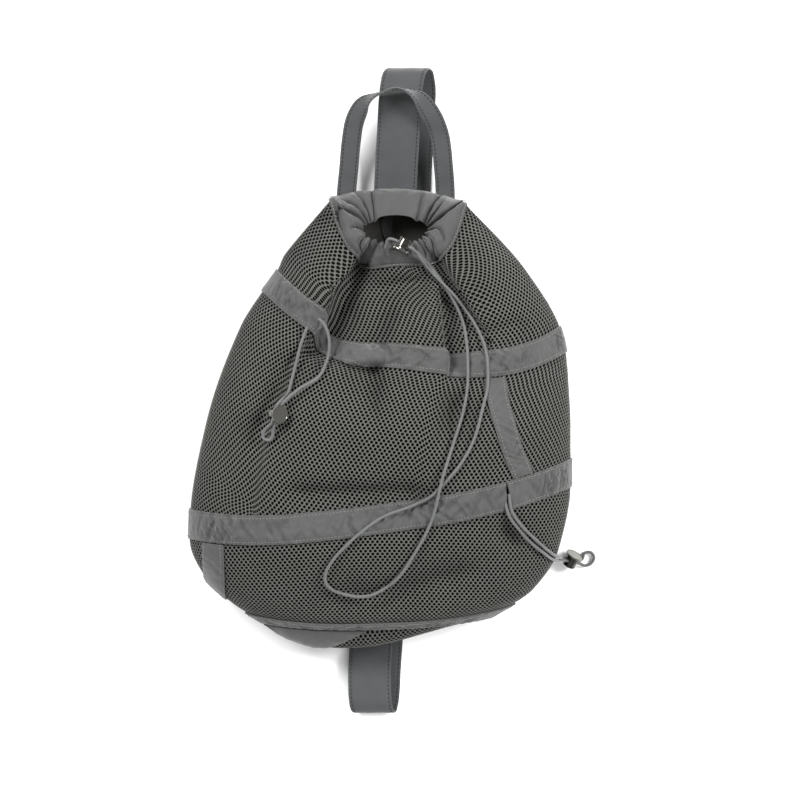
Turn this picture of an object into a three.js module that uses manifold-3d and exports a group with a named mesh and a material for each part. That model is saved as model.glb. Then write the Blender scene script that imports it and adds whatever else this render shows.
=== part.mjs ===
// A gathered air-mesh sling bag, stuffed and lying on its back, in millimetres.
// +X is the viewer's right, +Y runs from the base to the mouth and +Z is up from the floor.
import * as THREE from 'three';
import { mergeVertices } from 'three/addons/utils/BufferGeometryUtils.js';
import Module from 'manifold-3d';

const wasm = await Module();
wasm.setup();
const { smoothstep, lerp } = THREE.MathUtils;

// Thickness of the cloths and the gaps that are left between pieces
const MESH_WALL = 2.0;
const TAPE_WALL = 1.2;
const CASING_WALL = 1.8;
const LAYER_GAP = 0.4;
const STRIP_GAP = 0.6;
const SEAM_GAP = 0.9;

// How finely the cloth is divided
const FRONT_COLUMNS = 32;
const BACK_COLUMNS = 11;
const TOP_ROWS = 6;
const MIDDLE_ROWS = 5;
const LOWER_ROWS = 4;
const CASING_COLUMNS = 60;
const CASING_ROWS = 4;

// Steps over which a surface's direction is taken: down the cloth, round it, up the casing and
// towards the middle of the base
const STEP = { down: 0.6, s: 0.004, w: 0.02, r: 0.03 };

// Where the walls that meet at a seam take their direction from, and where their edges are drawn to
const SEAM_SIDE = { casing: 0.06, casingDraw: 0.2, base: 0.97, baseDraw: 0.9, meshDraw: 4 };
const MITRE_LIMIT = 0.5;

// The section of the bag: 2 is an ellipse and more is squarer
const FRONT_POWER = 2.4;
const BACK_POWER = 3.6;
const REST_HEIGHT = 1.6;

// Rows of the cloth from the mouth to the base. down is the way along the front of the bag, left and
// right are the ends of a row seen from above, sag is how far its middle lies below the line between
// them and square how flat that middle is. frontZ, sideZ and backZ are heights above the floor, and the
// back lies flat where backZ is lower than the height at which it rests.
const ROWS = table(
  [
    'name', 'down', 'leftX', 'leftY', 'rightX', 'rightY', 'sag', 'square',
    'frontZ', 'sideZ', 'backZ', 'backRise',
  ],
  [
    ['mouth_seam', 0, -50, 169, 82, 166, 51, 3.0, 68, 46, 14, 12],
    ['shoulder', 38, -90, 124, 132, 116, 39, 2.6, 84, 34, 3, 0],
    ['upper_tape_top', 79, -95, 112, 166, 60, 44, 2.6, 96, 36, -4, 0],
    ['upper_tape_end', 102, -109, 92, 172, 36, 45, 2.6, 100, 38, -4, 0],
    ['waist', 119, -129, 60, 174, 14, 34, 2.6, 107, 40, -4, 0],
    ['belly', 171, -160, -27, 176, -32, 18, 2.6, 119, 46, -4, 0],
    ['lower_tape_top', 227, -175, -109, 176, -62, 18, 2.8, 116, 47, -4, 0],
    ['lower_tape_end', 253, -176, -136, 176, -88, 18, 2.8, 112, 46, -4, 0],
    ['flank', 307, -162, -173, 165, -148, 20, 2.8, 92, 40, -4, 0],
    ['hem', 335, -138, -196, 142, -184, 16, 2.8, 78, 36, -4, 0],
    ['base_seam', 358, -109, -215, 103, -210, 7, 2.4, 60, 32, -4, 0],
  ],
);

// Folds of the front, each along a line from its head to its tail. depth sinks the cloth and a minus
// raises it, left and right are the widths of its two flanks, slip draws the cloth towards the base
// and headFade and tailFade are the shares of the line over which it dies away.
const FOLDS = table(
  ['name', 'headX', 'headY', 'tailX', 'tailY', 'depth', 'left', 'right', 'slip', 'headFade', 'tailFade'],
  [
    ['left_lobe_edge', -12, 134, -66, 42, 24, 8, 24, 0, 0.1, 0.5],
    ['centre_drop', -8, 140, -74, 24, 0, 11, 52, 20, 0.5, 0.35],
    ['left_lobe_crest', -37, 152, -78, 74, -7, 14, 14, 0, 0.2, 0.5],
    ['left_shelf', -46, 164, -92, 104, 13, 12, 7, 0, 0.1, 0.3],
    ['left_side_crease', -72, 46, -126, -82, 5, 10, 14, 0, 0.2, 0.5],
    ['right_lobe_edge', 49, 128, 99, 40, 17, 14, 8, 0, 0.1, 0.4],
    ['right_lobe_crest', 75, 142, 122, 68, -5, 14, 18, 0, 0.2, 0.5],
    ['right_shelf', 84, 160, 128, 116, 8, 7, 10, 0, 0.1, 0.4],
    ['under_casing', -20, 102, 51, 102, 8, 9, 8, 0, 0.3, 0.3],
    ['centre_crease', 13, 96, 11, 44, 3.5, 8, 8, 0, 0.3, 0.3],
    ['centre_edge', 60, 84, 64, 2, 8, 6, 18, 0, 0.3, 0.3],
    ['belly_crease', 66, 8, 34, -62, 4.5, 8, 12, 0, 0.3, 0.6],
    ['hem_crease', -14, -180, -58, -212, 3, 9, 9, 0, 0.4, 0.4],
    ['flank_dent', 104, -116, 132, -150, 4, 11, 11, 0, 0.4, 0.4],
  ],
);

// The rim of the mouth, an oval that leans back, and the casing gathered round it
const MOUTH = { x: 13.8, y: 149.5, halfWidth: 29, halfDepth: 13, frontZ: 74, backZ: 44 };
const CASING_FRONT_PUFF = 5;
const CASING_BACK_PUFF = 15;
const CASING_BACK_RISE = 0.3;
const PLEAT_COUNT = 15;
const PLEAT_DEPTH = 1.4;
const PLEAT_FADE = 0.5;
const SMOOTH_BACK_SPAN = 0.16;
const SMOOTH_BACK_SHARE = 0.8;

// The base panel swells past its seam
const BASE_SWELL = 22;
const BASE_SWELL_TILT = 0.75;
const BASE_RINGS = [0.8, 0.5, 0.22];

// Tapes over the seams
const UPPER_TAPE = { top: 79, end: 102, exit: 0.245 };
const LOWER_TAPE = { top: 227, end: 253, exit: 0.726 };
const EXIT_SLIT = 0.006;
const BINDING_WIDTH = 12;
const SEAM_STRIPS = table(
  ['name', 'headDown', 'tailDown', 'headS', 'tailS', 'width', 'inside'],
  [
    ['seam_tape_middle', 103.5, 225.5, 0.675, 0.765, 20, false],
    ['seam_tape_inner', 6, 74, 1.53, 1.53, 12, true],
  ],
);
const STRIP_STEPS = 10;
// The tape of the lower upright seam hangs straight down and passes over the left side of the bag
const SIDE_STRIP = { name: 'seam_tape_lower', x: -152, width: 20, headDown: 254.5, tailS: -0.12, overSide: 0.7 };

// The strap runs from the back of the mouth, round its upper bend, flat under the bag, round its
// lower bend and to the base seam. The back of the bag is lifted where it lies over the strap.
const STRAP_WIDTH = 40;
const STRAP_WALL = 2;
const STRAP_STEPS = 58;
const STRAP_LIFT = 2.4;
const STRAP_LIFT_FLAT = 58;
const STRAP_LIFT_EDGE = 95;
const STRAP_UNDER_HEAD = { x: 27, y: 184 };
const STRAP_UNDER_TAIL = { x: 1, y: -234 };
const STRAP_LINE = [
  [14, 168, 11.6], [14, 186, 12.5], [15, 208, 16], [17, 242, 25], [18.5, 270, 30.5], [20, 284, 31],
  [22, 294, 28], [24.5, 299, 22], [27, 300.5, 15], [29.5, 298, 8], [31, 291, 3.6], [32, 281, 1.5],
  [31, 262, 1], [29, 220, 1], [27, 184, 1], [18, 40, 1], [9, -104, 1], [1, -234, 1],
  [-1, -264, 1], [-2, -284, 1.6], [-3.5, -295, 4], [-5.5, -300.5, 8], [-8, -297, 13], [-9.5, -287, 15.2],
  [-10, -264, 12.5], [-9, -242, 8.2], [-8, -227, 5.2],
];

// The grab handle: its legs lie flat and its arch stands on edge
const HANDLE_WIDTH = 18;
const HANDLE_WALL = 2;
const HANDLE_STEPS = 36;
const HANDLE_TURN = { from: 0.18, to: 0.82 };
const HANDLE_LINE = [
  [-32, 172, 14.5], [-31.5, 186, 15], [-29.5, 206, 18.5], [-27, 232, 26], [-23, 252, 34], [-14, 267, 41],
  [0, 275, 45], [17, 279, 46], [33, 273, 45], [46, 258, 38], [55, 238, 28], [59, 208, 19.5],
  [60.5, 186, 15], [60.5, 172, 14.5],
];

// Cords and the spring locks on them
const CORD_DIAMETER = 2.8;
const CORD_SIDES = 8;
const CORD_LIFT = 2.6;
const CORD_REACH = 4;
const CORD_STEP = 9;
const CORD_STEPS = { mouth: 74, left: 34, right: 36 };
const STRAND_SPACING = 3.3;
const LOCK_SIDES = 12;
const LOCK = {
  barrelRadius: 6, barrelHeight: 9.2, boreRadius: 4.7, floor: 1.2, stemRadius: 4.3, barUnderCord: 1,
  cordZ: 5.6, slotClearance: 0.35, travel: 1.4, discRadius: 8.5, discWall: 2, discRise: 1.7, bevel: 0.6,
};
const LOCK_PASS = [-9, -6, 0, 6, 9];
const LOCKS = table(
  ['name', 'x', 'y', 'z', 'axis', 'cord'],
  [
    ['mouth', 21.5, 133, 87.2, [-0.45, -0.88, 0.1], [0.85, -0.5, 0.05]],
    ['left', -93.5, -21.5, 111.8, [0.55, -0.05, 0.83], [-0.5, -0.86, -0.2]],
    ['right', 178.7, -159.1, 9.6, [0.45, 0.82, 0.35], [0.95, 0.05, -0.45]],
  ],
);

// Free stretches of the cords on the bag, seen from above, with the height of each point over the cloth
const MOUTH_CORD_LOOP = [
  [44, 116, 3], [62, 92, 1], [76, 62, 2], [80, 12, 0], [76, -18, 0], [66, -50, 0], [57, -78, 3.2],
  [48, -115, 0], [40, -133, 0], [29, -152, 0], [15, -172, 0], [-9, -187, 0], [-32, -186, 0], [-46, -179, 0],
  [-50, -170, 0], [-44, -156, 0], [-32, -142, 0], [-14, -126, 0], [4, -114, 0], [28, -105, 0], [46, -96, 0],
  [57, -85, 0], [72, -68, 0], [85, -45, 0], [94, -13, 0], [98, 5, 0], [95, 42, 0.5],
  [75, 79, 2.5], [47, 109, 3],
];
const LEFT_CORD_OUT = [[-60, 67, 1], [-52, 62, 1], [-46, 44, 1], [-54, 14, 0], [-72, 2, 4]];
const LEFT_CORD_BACK = [[-83, -2, 4], [-78, 18, 0], [-72, 42, 0], [-66, 58, 0]];
const RIGHT_CORD_OUT = [[117, -94, -1.9], [120, -110, 0], [130, -124, 0], [143, -137, 0], [152, -145, 0.5]];
const RIGHT_CORD_BACK = [[149, -148, 0.5], [139, -140, 0], [127, -127, 0], [117, -113, 0], [113, -97, -1.9]];
// Stretches that leave the bag: out of the casing, past the left lock and over the side to the floor
const MOUTH_CORD_HEAD = [[5, 130, 79.4], [8, 138, 86]];
const MOUTH_CORD_TAIL = [[11, 138, 83.6], [9.5, 131, 79.4]];
const LEFT_CORD_TIP = [[-103.5, -38, 107.5], [-104.5, -43, 106], [-101, -42.5, 106], [-99.5, -37, 108]];
const RIGHT_CORD_HANG = [[160.5, -151.5, 62], [166, -154, 46], [168, -155.8, 27]];
const RIGHT_CORD_RISE = [[166.5, -158.4, 28], [164.5, -157.4, 46], [157.5, -154.5, 62]];
const RIGHT_CORD_TIP = [
  [189.5, -157.5, 2.4], [191.5, -152.4, 2.4], [197, -151.6, 2.4], [200.4, -156.4, 2.4], [197.8, -161.9, 2.6],
  [192, -163.9, 3.6],
];

const COLOR = {
  mesh: 0x5c5c58, tape: 0x656664, strap: 0x626364, cord: 0x4a4b4a, barrel: 0x4c4b47, button: 0x6a6861,
};
const CLOTH_FINISH = { roughness: 0.9, metalness: 0 };
const METAL_FINISH = { roughness: 0.35, metalness: 0.9 };

const bag = new THREE.Group();

function table(columns, rows) {
  return rows.map((values) => Object.fromEntries(columns.map((column, i) => [column, values[i]])));
}

function add(name, geometry, color, finish = CLOTH_FINISH) {
  const mesh = new THREE.Mesh(geometry, new THREE.MeshStandardMaterial({ color, ...finish }));
  mesh.name = name;
  bag.add(mesh);
  return mesh;
}

// The slope of a column of the row table at one row, with no overshoot
function slopeAt(column, i) {
  const secant = (k) => (ROWS[k + 1][column] - ROWS[k][column]) / (ROWS[k + 1].down - ROWS[k].down);
  if (i === 0) return secant(0);
  if (i === ROWS.length - 1) return secant(i - 1);
  const before = secant(i - 1);
  const after = secant(i);
  return before * after <= 0 ? 0 : (2 * before * after) / (before + after);
}

// Every column of the row table at one place along the cloth
function rowAt(down) {
  const lastSpan = ROWS.length - 2;
  const found = ROWS.findIndex((row, k) => k > 0 && down <= row.down);
  const i = found < 0 ? lastSpan : found - 1;
  const span = ROWS[i + 1].down - ROWS[i].down;
  const t = (down - ROWS[i].down) / span;
  const ease = t * t * (3 - 2 * t);
  const row = {};
  for (const column of Object.keys(ROWS[0]).slice(2)) {
    const bend = slopeAt(column, i) * (1 - t) - slopeAt(column, i + 1) * t;
    row[column] = lerp(ROWS[i][column], ROWS[i + 1][column], ease) + bend * span * t * (1 - t);
  }
  return row;
}

// How far the folds sink the cloth and draw it down at a point seen from above
function foldsAt(x, y) {
  let sink = 0;
  let slip = 0;
  for (const fold of FOLDS) {
    const run = Math.hypot(fold.tailX - fold.headX, fold.tailY - fold.headY);
    const alongX = (fold.tailX - fold.headX) / run;
    const alongY = (fold.tailY - fold.headY) / run;
    const share = ((x - fold.headX) * alongX + (y - fold.headY) * alongY) / run;
    const away = (y - fold.headY) * alongX - (x - fold.headX) * alongY;
    const flank = away < 0 ? fold.left : fold.right;
    const fade = smoothstep(share, 0, fold.headFade) * smoothstep(1 - share, 0, fold.tailFade);
    const strength = fade * Math.exp(-((away / flank) ** 2));
    sink += fold.depth * strength;
    slip += fold.slip * strength;
  }
  return { sink, slip };
}

function strapLift(x, y) {
  const share = (y - STRAP_UNDER_HEAD.y) / (STRAP_UNDER_TAIL.y - STRAP_UNDER_HEAD.y);
  const away = Math.abs(x - lerp(STRAP_UNDER_HEAD.x, STRAP_UNDER_TAIL.x, share));
  return STRAP_LIFT * (1 - smoothstep(away, STRAP_LIFT_FLAT, STRAP_LIFT_EDGE));
}

// The front of the bag at one row and one x
function frontPoint(row, x) {
  const share = (x - row.leftX) / (row.rightX - row.leftX);
  const side = Math.min(1, Math.abs(2 * share - 1));
  const crown = (1 - side ** FRONT_POWER) ** (1 / FRONT_POWER);
  const y = lerp(row.leftY, row.rightY, share) - row.sag * (1 - side ** row.square);
  const { sink, slip } = foldsAt(x, y);
  const z = lerp(row.sideZ, row.frontZ, crown) - sink * Math.sqrt(crown);
  return new THREE.Vector3(x, y - slip, z);
}

function backPoint(row, x) {
  const share = (x - row.leftX) / (row.rightX - row.leftX);
  const side = Math.min(1, Math.abs(2 * share - 1));
  const crown = (1 - side ** BACK_POWER) ** (1 / BACK_POWER);
  const y = lerp(row.leftY, row.rightY, share) + row.backRise * crown;
  const z = Math.max(REST_HEIGHT, lerp(row.sideZ, row.backZ, crown));
  return new THREE.Vector3(x, y, z + strapLift(x, y) * crown);
}

// The outer face of the cloth: s runs 0 to 1 over the front from left to right and 1 to 2 over the back
function bagPoint(down, s) {
  const row = rowAt(down);
  const turn = ((s % 2) + 2) % 2;
  const x = lerp(row.leftX, row.rightX, (1 - Math.cos(Math.PI * turn)) / 2);
  return turn <= 1 ? frontPoint(row, x) : backPoint(row, x);
}

// The outward direction of a surface. step leads down the bag, so it is a minus where a falls that way.
function outward(surface, a, s, step) {
  const along = surface(a + step, s).sub(surface(a - step, s));
  const round = surface(a, s + STEP.s).sub(surface(a, s - STEP.s));
  return along.cross(round).normalize();
}

function bagOut(down, s) {
  return outward(bagPoint, down, s, STEP.down);
}

function lifted(down, s, height) {
  return bagPoint(down, s).addScaledVector(bagOut(down, s), height);
}

// The place along the cloth, after a start, at which its rows come to meet a test
function downWhere(start, meets) {
  const HALVINGS = 30;
  let low = start;
  let high = ROWS.at(-1).down;
  for (let i = 0; i < HALVINGS; i++) {
    const middle = (low + high) / 2;
    if (meets(rowAt(middle))) high = middle;
    else low = middle;
  }
  return low;
}

// The height of the bag's front, with its tapes, over a point of the floor
function heightAt(x, y) {
  const down = downWhere(0, (row) => frontPoint(row, x).y <= y);
  const under = (tape) => down > tape.top - CORD_REACH && down < tape.end + CORD_REACH;
  const taped = under(UPPER_TAPE) || under(LOWER_TAPE);
  return frontPoint(rowAt(down), x).z + (taped ? LAYER_GAP + TAPE_WALL : 0);
}

// A closed wall between two grids of points. A pole closes the last row to one point.
function wall(outer, inner, { closed = false, pole = null } = {}) {
  const rows = outer.length;
  const columns = outer[0].length;
  const points = [...outer.flat(), ...inner.flat()];
  const inside = rows * columns;
  const spans = closed ? columns : columns - 1;
  const at = (i, j) => i * columns + (j % columns);
  const index = [];
  const quad = (a, b, c, d) => index.push(a, b, c, a, c, d);
  for (let j = 0; j < spans; j++) {
    for (let i = 0; i < rows - 1; i++) {
      quad(at(i, j), at(i + 1, j), at(i + 1, j + 1), at(i, j + 1));
      quad(inside + at(i, j), inside + at(i, j + 1), inside + at(i + 1, j + 1), inside + at(i + 1, j));
    }
    quad(at(0, j), at(0, j + 1), inside + at(0, j + 1), inside + at(0, j));
    const end = rows - 1;
    if (pole) {
      index.push(at(end, j), points.length, at(end, j + 1));
      index.push(inside + at(end, j), inside + at(end, j + 1), points.length + 1);
    } else {
      quad(at(end, j), inside + at(end, j), inside + at(end, j + 1), at(end, j + 1));
    }
  }
  if (!closed) {
    const last = columns - 1;
    for (let i = 0; i < rows - 1; i++) {
      quad(at(i, 0), inside + at(i, 0), inside + at(i + 1, 0), at(i + 1, 0));
      quad(at(i, last), at(i + 1, last), inside + at(i + 1, last), inside + at(i, last));
    }
  }
  if (pole) points.push(pole.outer, pole.inner);
  return new THREE.BufferGeometry().setFromPoints(points).setIndex(index);
}

// The columns of the cloth round the bag
function clothColumns() {
  const front = Array.from({ length: FRONT_COLUMNS }, (_, j) => j / FRONT_COLUMNS);
  const back = Array.from({ length: BACK_COLUMNS }, (_, j) => 1 + j / BACK_COLUMNS);
  return [...front, ...back];
}

// Two walls that meet at an angle share this inner point
function mitre(outer, firstOut, secondOut, thickness) {
  const middle = firstOut.clone().add(secondOut).normalize();
  const stretch = thickness / Math.max(MITRE_LIMIT, middle.dot(firstOut));
  return outer.clone().addScaledVector(middle, -stretch);
}

// The casing: w is 0 at its seam with the mesh and 1 at the rim of the mouth
function casingPoint(w, s) {
  const angle = Math.PI * (1 + s);
  const back = Math.max(0, Math.sin(angle));
  const rimZ = lerp(MOUTH.frontZ, MOUTH.backZ, (1 + Math.sin(angle)) / 2);
  const rimX = MOUTH.x + MOUTH.halfWidth * Math.cos(angle);
  const rim = new THREE.Vector3(rimX, MOUTH.y + MOUTH.halfDepth * Math.sin(angle), rimZ);
  const puffWay = new THREE.Vector3(0, back, lerp(1, CASING_BACK_RISE, back)).normalize();
  const puff = lerp(CASING_FRONT_PUFF, CASING_BACK_PUFF, back) * 4 * w * (1 - w);
  const fromBack = (((s % 2) + 2) % 2) - 1.5;
  const gathered = 1 - SMOOTH_BACK_SHARE * Math.exp(-((fromBack / SMOOTH_BACK_SPAN) ** 2));
  const pleat = PLEAT_DEPTH * gathered * Math.sin(Math.PI * PLEAT_COUNT * s) * smoothstep(w, 0, PLEAT_FADE);
  return bagPoint(0, s).lerp(rim, w).addScaledVector(puffWay, puff + pleat);
}

function casingOut(w, s) {
  return outward(casingPoint, w, s, -STEP.w);
}

// The base panel: r is 1 at its seam and 0 at its middle
const BASE_DOWN = ROWS.at(-1).down;
const BASE_MIDDLE = baseMiddle();

function baseMiddle() {
  const quarters = [0, 0.5, 1, 1.5];
  const middle = new THREE.Vector3();
  for (const s of quarters) middle.addScaledVector(bagPoint(BASE_DOWN, s), 1 / quarters.length);
  return middle;
}

function basePoint(r, s) {
  const point = BASE_MIDDLE.clone().lerp(bagPoint(BASE_DOWN, s), r);
  const { leftX, rightX } = ROWS.at(-1);
  const side = (2 * (point.x - BASE_MIDDLE.x)) / (rightX - leftX);
  point.y -= BASE_SWELL * (1 - BASE_SWELL_TILT * side) * (1 - r * r);
  return point;
}

function baseOut(r, s) {
  return outward(basePoint, r, s, -STEP.r);
}

// One row of a wall at an edge that it shares with another wall, drawn back by half the seam gap
function edgeRow(columns, edge, firstOut, secondOut, drawn, thickness) {
  const outer = [];
  const inner = [];
  for (const s of columns) {
    const point = edge(s);
    const shift = drawn(s).sub(point).setLength(SEAM_GAP);
    inner.push(mitre(point, firstOut(s), secondOut(s), thickness).add(shift));
    outer.push(point.add(shift));
  }
  return { outer, inner };
}

function meshRing(name, downs, headEdge, tailEdge) {
  const columns = clothColumns();
  const outer = downs.map((down) => columns.map((s) => bagPoint(down, s)));
  const inner = downs.map((down) => columns.map((s) => lifted(down, s, -MESH_WALL)));
  if (headEdge) {
    outer.unshift(headEdge.outer);
    inner.unshift(headEdge.inner);
  }
  if (tailEdge) {
    outer.push(tailEdge.outer);
    inner.push(tailEdge.inner);
  }
  add(name, wall(outer, inner, { closed: true }), COLOR.mesh);
}

// Rows evenly spread after one place along the cloth and up to another
function spread(from, to, count) {
  return Array.from({ length: count }, (_, i) => lerp(from, to, (i + 1) / count));
}

function mouthOut(s) {
  return bagOut(0, s);
}

function hemOut(s) {
  return bagOut(BASE_DOWN, s);
}

function casingSide(s) {
  return casingOut(SEAM_SIDE.casing, s);
}

function baseSide(s) {
  return baseOut(SEAM_SIDE.base, s);
}

function buildMesh() {
  const columns = clothColumns();
  const upper = (UPPER_TAPE.top + UPPER_TAPE.end) / 2;
  const lower = (LOWER_TAPE.top + LOWER_TAPE.end) / 2;
  const half = SEAM_GAP / 2;
  const mouth = (s) => bagPoint(0, s);
  const underMouth = (s) => bagPoint(SEAM_SIDE.meshDraw, s);
  const mouthEdge = edgeRow(columns, mouth, mouthOut, casingSide, underMouth, MESH_WALL);
  meshRing('mesh_top', [...spread(0, UPPER_TAPE.top, TOP_ROWS), upper - half], mouthEdge, null);
  const middleRows = spread(UPPER_TAPE.end, LOWER_TAPE.top, MIDDLE_ROWS);
  meshRing('mesh_middle', [upper + half, UPPER_TAPE.end, ...middleRows, lower - half], null, null);
  const hem = (s) => bagPoint(BASE_DOWN, s);
  const overHem = (s) => bagPoint(BASE_DOWN - SEAM_SIDE.meshDraw, s);
  const hemEdge = edgeRow(columns, hem, hemOut, baseSide, overHem, MESH_WALL);
  const lowerRows = spread(LOWER_TAPE.end, BASE_DOWN - BINDING_WIDTH, LOWER_ROWS);
  meshRing('mesh_lower', [lower + half, LOWER_TAPE.end, ...lowerRows], null, hemEdge);
}

function buildBase() {
  const columns = clothColumns();
  const seam = (s) => basePoint(1, s);
  const insideSeam = (s) => basePoint(SEAM_SIDE.baseDraw, s);
  const edge = edgeRow(columns, seam, hemOut, baseSide, insideSeam, MESH_WALL);
  const inset = (r, s) => basePoint(r, s).addScaledVector(baseOut(r, s), -MESH_WALL);
  const outer = [edge.outer, ...BASE_RINGS.map((r) => columns.map((s) => basePoint(r, s)))];
  const inner = [edge.inner, ...BASE_RINGS.map((r) => columns.map((s) => inset(r, s)))];
  const middle = basePoint(0, 0);
  const pole = { outer: middle, inner: middle.clone().add(new THREE.Vector3(0, MESH_WALL, 0)) };
  add('mesh_base', wall(outer, inner, { closed: true, pole }), COLOR.mesh);
}

function buildCasing() {
  const columns = Array.from({ length: CASING_COLUMNS }, (_, j) => (2 * j) / CASING_COLUMNS);
  const seam = (s) => bagPoint(0, s);
  const overSeam = (s) => casingPoint(SEAM_SIDE.casingDraw, s);
  const edge = edgeRow(columns, seam, mouthOut, casingSide, overSeam, CASING_WALL);
  const ws = Array.from({ length: CASING_ROWS }, (_, i) => 1 - i / CASING_ROWS);
  const inset = (w, s) => casingPoint(w, s).addScaledVector(casingOut(w, s), -CASING_WALL);
  const outer = [...ws.map((w) => columns.map((s) => casingPoint(w, s))), edge.outer];
  const inner = [...ws.map((w) => columns.map((s) => inset(w, s))), edge.inner];
  add('mouth_casing', wall(outer, inner, { closed: true }), COLOR.tape);
}

// A tape round the bag, open at the slit where its cord comes out
function buildRoundTape(name, tape) {
  const start = tape.exit + EXIT_SLIT;
  const end = tape.exit + 2 - EXIT_SLIT;
  const twice = [...clothColumns(), ...clothColumns().map((s) => s + 2)];
  const columns = [start, ...twice.filter((s) => s > start + EXIT_SLIT && s < end - EXIT_SLIT), end];
  const downs = [tape.top, (tape.top + tape.end) / 2, tape.end];
  const inner = downs.map((down) => columns.map((s) => lifted(down, s, LAYER_GAP)));
  const outer = downs.map((down) => columns.map((s) => lifted(down, s, LAYER_GAP + TAPE_WALL)));
  add(name, wall(outer, inner), COLOR.tape);
}

function buildBinding() {
  const columns = clothColumns();
  const downs = [BASE_DOWN - BINDING_WIDTH, BASE_DOWN - SEAM_GAP];
  const inner = downs.map((down) => columns.map((s) => lifted(down, s, LAYER_GAP)));
  const outer = downs.map((down) => columns.map((s) => lifted(down, s, LAYER_GAP + TAPE_WALL)));
  add('base_binding', wall(outer, inner, { closed: true }), COLOR.tape);
}

// A strip of tape down the bag, on its outer face or inside it
function buildSeamStrip(strip) {
  const near = strip.inside ? -MESH_WALL - STRIP_GAP - TAPE_WALL : STRIP_GAP;
  const outer = [];
  const inner = [];
  for (let i = 0; i <= STRIP_STEPS; i++) {
    const down = lerp(strip.headDown, strip.tailDown, i / STRIP_STEPS);
    const s = lerp(strip.headS, strip.tailS, i / STRIP_STEPS);
    const reach = bagPoint(down, s + STEP.s).distanceTo(bagPoint(down, s - STEP.s));
    const half = (STEP.s * strip.width) / reach;
    const columns = [s - half, s, s + half];
    inner.push(columns.map((at) => lifted(down, at, near)));
    outer.push(columns.map((at) => lifted(down, at, near + TAPE_WALL)));
  }
  add(strip.name, wall(outer, inner), COLOR.tape);
}

// The place on the cloth at a share of the side strip's length, over one x of the floor
function sideStripPlace(share, x) {
  const edge = downWhere(SIDE_STRIP.headDown, (row) => row.leftX >= x);
  const { overSide, tailS } = SIDE_STRIP;
  if (share > overSide) return { down: edge, s: (tailS * (share - overSide)) / (1 - overSide) };
  const down = lerp(SIDE_STRIP.headDown, edge, Math.sin((Math.PI / 2) * (share / overSide)));
  const { leftX, rightX } = rowAt(down);
  const inFromLeft = Math.max(0, (x - leftX) / (rightX - leftX));
  return { down, s: Math.acos(1 - 2 * inFromLeft) / Math.PI };
}

function buildSideStrip() {
  const outer = [];
  const inner = [];
  for (let i = 0; i <= STRIP_STEPS; i++) {
    const across = [-0.5, 0, 0.5].map((side) => SIDE_STRIP.x + side * SIDE_STRIP.width);
    const places = across.map((x) => sideStripPlace(i / STRIP_STEPS, x));
    inner.push(places.map(({ down, s }) => lifted(down, s, STRIP_GAP)));
    outer.push(places.map(({ down, s }) => lifted(down, s, STRIP_GAP + TAPE_WALL)));
  }
  add(SIDE_STRIP.name, wall(outer, inner), COLOR.tape);
}

// A flat strap along a line. widthWay gives the way across it at a share of its length.
function ribbon(line, steps, width, thickness, widthWay) {
  const curve = new THREE.CatmullRomCurve3(asPoints(line));
  const outer = [];
  const inner = [];
  for (let i = 0; i <= steps; i++) {
    const middle = curve.getPoint(i / steps);
    const along = curve.getTangent(i / steps);
    const across = widthWay(i / steps, along).setLength(width / 2);
    const face = across.clone().cross(along).setLength(thickness / 2);
    const corner = (side, lift) => middle.clone().addScaledVector(across, side).addScaledVector(face, lift);
    outer.push([corner(1, 1), corner(-1, 1)]);
    inner.push([corner(1, -1), corner(-1, -1)]);
  }
  return wall(outer, inner);
}

function buildStraps() {
  const level = () => new THREE.Vector3(1, 0, 0);
  add('shoulder_strap', ribbon(STRAP_LINE, STRAP_STEPS, STRAP_WIDTH, STRAP_WALL, level), COLOR.strap);
  const turning = (share, along) => {
    const turn = Math.PI * smoothstep(share, HANDLE_TURN.from, HANDLE_TURN.to);
    const across = new THREE.Vector3(Math.cos(turn), 0, Math.sin(turn));
    return across.addScaledVector(along, -across.dot(along));
  };
  add('grab_handle', ribbon(HANDLE_LINE, HANDLE_STEPS, HANDLE_WIDTH, HANDLE_WALL, turning), COLOR.strap);
}

function solidOf(geometry) {
  const bare = geometry.clone();
  bare.deleteAttribute('normal');
  bare.deleteAttribute('uv');
  const merged = mergeVertices(bare);
  const vertProperties = merged.attributes.position.array;
  return new wasm.Manifold(new wasm.Mesh({ numProp: 3, vertProperties, triVerts: merged.index.array }));
}

function geometryOf(solid) {
  const { vertProperties, triVerts } = solid.getMesh();
  const geometry = new THREE.BufferGeometry();
  geometry.setAttribute('position', new THREE.BufferAttribute(vertProperties, 3));
  return geometry.setIndex(new THREE.BufferAttribute(triVerts, 1));
}

// A turned solid about Z from a profile of radius and height, with a slot through it along X
function slottedLathe(profile, slotBottom, slotTop) {
  const turned = new THREE.LatheGeometry(profile.map(([r, z]) => new THREE.Vector2(r, z)), LOCK_SIDES);
  turned.rotateX(Math.PI / 2);
  const slotWidth = STRAND_SPACING + CORD_DIAMETER + 2 * LOCK.slotClearance;
  const slotLength = 4 * LOCK.barrelRadius;
  const slot = new THREE.BoxGeometry(slotLength, slotWidth, slotTop - slotBottom);
  slot.translate(0, 0, (slotTop + slotBottom) / 2);
  return geometryOf(solidOf(turned).subtract(solidOf(slot)));
}

function lockFrame(lock) {
  const axis = new THREE.Vector3(...lock.axis).normalize();
  const cord = new THREE.Vector3(...lock.cord);
  cord.addScaledVector(axis, -cord.dot(axis)).normalize();
  const side = axis.clone().cross(cord);
  const turn = new THREE.Matrix4().makeBasis(cord, side, axis);
  return turn.setPosition(lock.x, lock.y, lock.z);
}

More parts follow.
